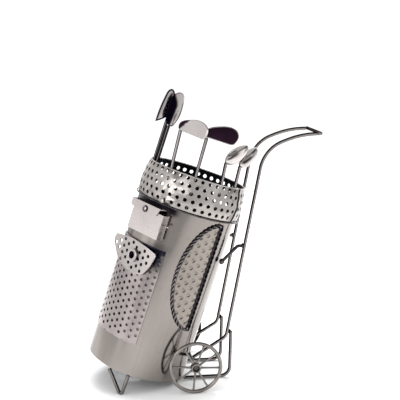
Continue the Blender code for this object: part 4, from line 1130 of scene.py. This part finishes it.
IRON_3 = ((-1.6, -0.2, True), (-3.2, 2.2), (-2.9, 5.6), (0.2, 8.4), (6.3, 10.8), (12.7, 12.6), (19.0, 12.8),
          (24.3, 11.4), (27.4, 9.0), (28.4, 5.8), (27.9, 2.3), (25.9, -0.6, True))
IRON_4 = ((-1.2, 0.2, True), (-3.0, 2.4), (-2.6, 6.0), (1.0, 9.4), (6.0, 11.8), (12.0, 13.8), (17.5, 14.4),
          (22.0, 13.0), (24.6, 9.6), (24.8, 5.8), (23.0, 1.6), (20.2, 0.3, True))
BLADE_A = ((-10.6, -2.6, True), (-9.6, 1.2), (-6.8, 8.6), (-3.6, 15.6), (0.0, 22.3), (2.8, 24.5), (5.2, 24.0),
           (6.6, 20.4), (5.8, 13.0), (2.6, 5.4), (-1.6, 0.6))
BLADE_B = ((3.5, -0.5), (0.3, -0.1), (-2.1, 3.1), (-2.3, 8.9), (-0.7, 15.9), (2.1, 22.5), (5.9, 26.5), (10.1, 27.5),
           (13.1, 25.1), (13.1, 19.9), (11.3, 12.3), (8.5, 5.7))


def make_iron(number, rim_angle, top_angle, sole, outline, shade):
    start, end = club_line(rim_angle, top_angle, sole)
    shaft(number, start, end, dark_sides)
    place = bag_place(radians(top_angle), CLUB_RADIUS, 0, sole * MM)
    make_head(number, outline, place, HEAD_STEEL, shade, 0.12 * MM, 0.25 * MM)


def make_blade(number, angle, top, outline, dome, shade):
    start, end = club_line(angle, angle, top)
    shaft(number, start, end, light_lines)
    make_head(number, outline, Matrix.Translation(end) @ Matrix.Rotation(pi / 2, 4, "X"), BLADE_STEEL, shade, dome * MM)


def make_head(number, outline, place, material, shade, dome, dish=0.0):
    loop = [(x * MM, y * MM) for x, y in smooth_loop(outline)]
    bm = domed_plate(loop, place, dome, dish)
    shade_head(bm, place, loop, shade)
    dress(f"club_{number}_head", bm, material, "bright_steel")


def shade_head(bm, place, loop, shade):
    """Paints dark reflections on a plate by a function of the point, in millimetres, and its distance from the edge."""
    back = place.inverted()
    sides = [(Vector(a), Vector(b) - Vector(a)) for a, b in zip(loop, loop[1:] + loop[:1])]
    shares = []
    for vert in bm.verts:
        spot = (back @ vert.co).xy
        rim = min(abs(side.normalized().cross(spot - start)) if 0 <= (spot - start).dot(side) <= side.length_squared
                  else (spot - start).length for start, side in sides)
        shares.append(min(1, max(0, shade(spot.x / MM, spot.y / MM, rim / MM))))
    painted_shading(bm, shares)


def shade_iron_3(x, y, rim):
    """A painted dark reflection on a facet at the heel, kept off a bright edge."""
    return rise(0.95 * (y - 3.4) - (x - 1.2) * 1.15, -0.2, 0.2) * rise(rim, 0.1, 0.5)


def shade_iron_4(x, y, rim):
    """A painted dark reflection all over, but for its edge."""
    return rise(rim, 0.35, 0.8)


def shade_blade_a(x, y, rim):
    """A painted dark line along the edge, and a painted dark reflection on the right side."""
    across = x - 0.42 * y + 5.2
    return max(rise(rim, 1.7, 1.1) * rise(rim, 0.05, 0.25), rise(across, 2.2, 4.6))


def shade_blade_b(x, y, rim):
    """A painted dark reflection on the left side that turns bright on the right, and a painted dark line along the
    right edge.
    """
    across = x - 0.40 * min(y, 16.5) + 0.25 * max(0, y - 20)
    return max(rise(across, 2.2, 0.0), 0.9 * rise(rim, 1.3, 0.7) * rise(rim, 0.05, 0.2) * rise(y, 21, 17))


def make_wood(number, rim_angle, top_angle, streak):
    """A smooth egg that grows out of the shaft's end, flatter on its sole, with a painted dark reflection in a streak
    of a given width.
    """
    start, end = club_line(rim_angle, top_angle, WOOD_TOP)
    shaft(number, start, end, dark_front)
    length, width, thick = 24.0 * MM, 11.2 * MM, 9.0 * MM
    place = bag_place(radians(top_angle), CLUB_RADIUS, 0, WOOD_TOP * MM) @ Matrix.Rotation(radians(-40), 4, "Z")
    bm = bmesh.new()
    bmesh.ops.create_uvsphere(bm, u_segments=72, v_segments=40, radius=0.5)
    shares = []
    for vert in bm.verts:
        x, y, z = vert.co
        along = z + 0.5
        # Painted dark reflection in a streak down the head.
        shares.append(bell(x, -0.22, streak) * rise(along, 0.02, 0.14) * rise(along, 0.62, 0.42))
        fat = (1.16 - 0.30 * along) * (1 + 0.10 * sin(pi * along))
        spot = Vector((x * width * fat * (1.0 if x > 0 else 0.92), along * length - 0.5 * MM, y * thick * fat))
        vert.co = place @ spot
    painted_shading(bm, shares)
    dress(f"club_{number}_head", bm, POLISHED, "bright_steel")


make_blade(1, 0, 214.0, BLADE_A, 0.5, shade_blade_a)
make_blade(2, 13.7, 208.9, BLADE_B, 0.9, shade_blade_b)
make_iron(3, 43.5, 39.0, 209.2, IRON_3, shade_iron_3)
make_iron(4, 75.8, 73.9, 210.6, IRON_4, shade_iron_4)
make_wood(5, 108.8, 105.6, 0.09)
make_wood(6, 132.1, 128.7, 0.15)


# Floor, light and camera

FLOOR_RADIUS = 6.0
FLOOR_DROP = 0.05 * MM
DOME_RADIUS = 1.0
DOME_CENTRE = 0.1
DOME_DARK = 0.04
# Each window: its strength, and soft steps (axis, where the step starts, where it is full)
STUDIO = (
    (1.0, (("Y", 0.05, 0.45), ("X", -0.75, -0.55), ("Z", 0.95, 0.70))),
    (0.9, (("Y", 0.40, 0.60), ("X", -0.55, -0.75), ("Z", 0.03, 0.10), ("Z", 0.75, 0.60))),
    (1.2, (("X", -0.66, -0.82), ("Y", 0.60, 0.45), ("Y", -0.60, -0.42), ("Z", 0.02, 0.10), ("Z", 0.75, 0.60))),
    (1.1, (("X", -0.56, -0.76), ("Y", -0.64, -0.44), ("Z", 0.06, -0.02))),
    (-0.45, (("X", 0.0, -0.2), ("X", -0.70, -0.50), ("Y", 0.45, 0.65), ("Z", 0.06, -0.04))),
    (0.7, (("X", -0.80, -0.92), ("Y", 0.10, 0.0), ("Y", -0.34, -0.20), ("Z", 0.03, 0.09), ("Z", 0.21, 0.13))),
    (2.3, (("X", -0.24, -0.34), ("Y", -0.28, -0.46), ("Z", 0.15, 0.23), ("Z", 0.60, 0.42))),
    (0.55, (("Y", -0.25, -0.50), ("X", -0.56, -0.66), ("Z", 0.75, 0.50))),
    (0.78, (("Y", -0.25, -0.50), ("X", -0.66, -0.56), ("Z", 0.75, 0.50))),
    (0.25, (("Y", -0.25, -0.50), ("X", -0.10, 0.05), ("Z", 0.75, 0.50))),
    (-0.08, (("Y", -0.60, -0.80), ("X", -0.46, -0.36), ("X", -0.06, -0.16), ("Z", 0.28, 0.16))),
    (0.55, (("X", 0.45, 0.85), ("Z", 0.60, 0.35))),
    (0.7, (("Z", 0.70, 0.88),)),
)


def make_stage():
    """A pale floor, and a dome that only reflections see, like the walls and lamps of a studio."""
    bm = bmesh.new()
    bmesh.ops.create_circle(bm, cap_ends=True, segments=64, radius=FLOOR_RADIUS)
    floor_piece = stage_object("floor", bm, -FLOOR_DROP)
    material, tree, shader = new_material("pale_floor")
    tone = ramp(tree, noise_of(tree, add(tree, "TexCoord").outputs["Object"], 6, 3), [(0.2, 0.86), (0.8, 0.90)])
    tree.links.new(tone, shader.inputs["Base Color"])
    shader.inputs["Roughness"].default_value = 0.85
    shader.inputs["Specular IOR Level"].default_value = 0.15
    floor_piece.data.materials.append(material)

    bm = bmesh.new()
    bmesh.ops.create_uvsphere(bm, u_segments=64, v_segments=48, radius=DOME_RADIUS)
    dome = stage_object("dome", bm, DOME_CENTRE)
    dome.data.shade_smooth()
    for ray in ("camera", "diffuse", "shadow", "transmission"):
        setattr(dome, "visible_" + ray, False)
    dome.data.materials.append(studio_walls())


def stage_object(name, bm, height):
    obj = new_object(name, bm)
    obj.location.z = height
    return obj


def studio_walls():
    """Light by direction: white behind, a lamp high on the left, dark above, in front and low on the left."""
    material, tree, shader = new_material("studio_walls")
    way = add(tree, "VectorMath", operation="NORMALIZE", in_Vector=add(tree, "TexCoord").outputs["Object"])
    axes = axes_of(tree, way.outputs["Vector"])
    light = DOME_DARK
    for strength, steps in STUDIO:
        for axis, start, full in steps:
            step = spread(tree, axes[axis], min(start, full), max(start, full),
                          float(full < start), float(full > start), "SMOOTHSTEP")
            strength = product(tree, strength, step)
        light = summed(tree, light, strength)
    glow = add(tree, "Emission", in_Strength=light)
    tree.links.new(glow.outputs[0], tree.nodes["Material Output"].inputs["Surface"])
    tree.nodes.remove(shader)
    return material


def area_light(name, spot, aim, size, power):
    data = bpy.data.lights.new(name, "AREA")
    data.shape = "RECTANGLE"
    data.size, data.size_y = size
    data.energy = power
    light = bpy.data.objects.new(name, data)
    bpy.context.scene.collection.objects.link(light)
    light.location = spot
    light.rotation_euler = (Vector(spot) - Vector(aim)).to_track_quat("Z", "Y").to_euler()
    light.visible_glossy = False


WORLD_STRENGTH = 1.15
LENS = 77.66
CAMERA_SPOT = Vector((-0.1371, -0.7242, 0.3107))
CAMERA_AIM = Vector((-0.00237, 0, 0.15771))


def make_light():
    world = bpy.data.worlds.new("studio")
    bpy.context.scene.world = world
    world.use_nodes = True
    background = world.node_tree.nodes["Background"].inputs
    background["Color"].default_value = (1, 1, 1, 1)
    background["Strength"].default_value = WORLD_STRENGTH
    area_light("key", (-0.9, -0.55, 0.75), (0, 0, 0.12), (0.7, 0.5), 1.5)
    area_light("top", (0.1, 0.5, 1.3), (0, 0, 0.1), (1.0, 0.8), 21.5)


def make_camera():
    """The lens and the place that were fitted to the photograph."""
    data = bpy.data.cameras.new("camera")
    data.sensor_width = 36
    data.lens = LENS
    data.clip_start = 0.01
    camera = bpy.data.objects.new("camera", data)
    bpy.context.scene.collection.objects.link(camera)
    camera.location = CAMERA_SPOT
    camera.rotation_euler = (CAMERA_SPOT - CAMERA_AIM).to_track_quat("Z", "Y").to_euler()
    bpy.context.scene.camera = camera


make_stage()
make_light()
make_camera()
bpy.context.scene.view_settings.view_transform = "Standard"
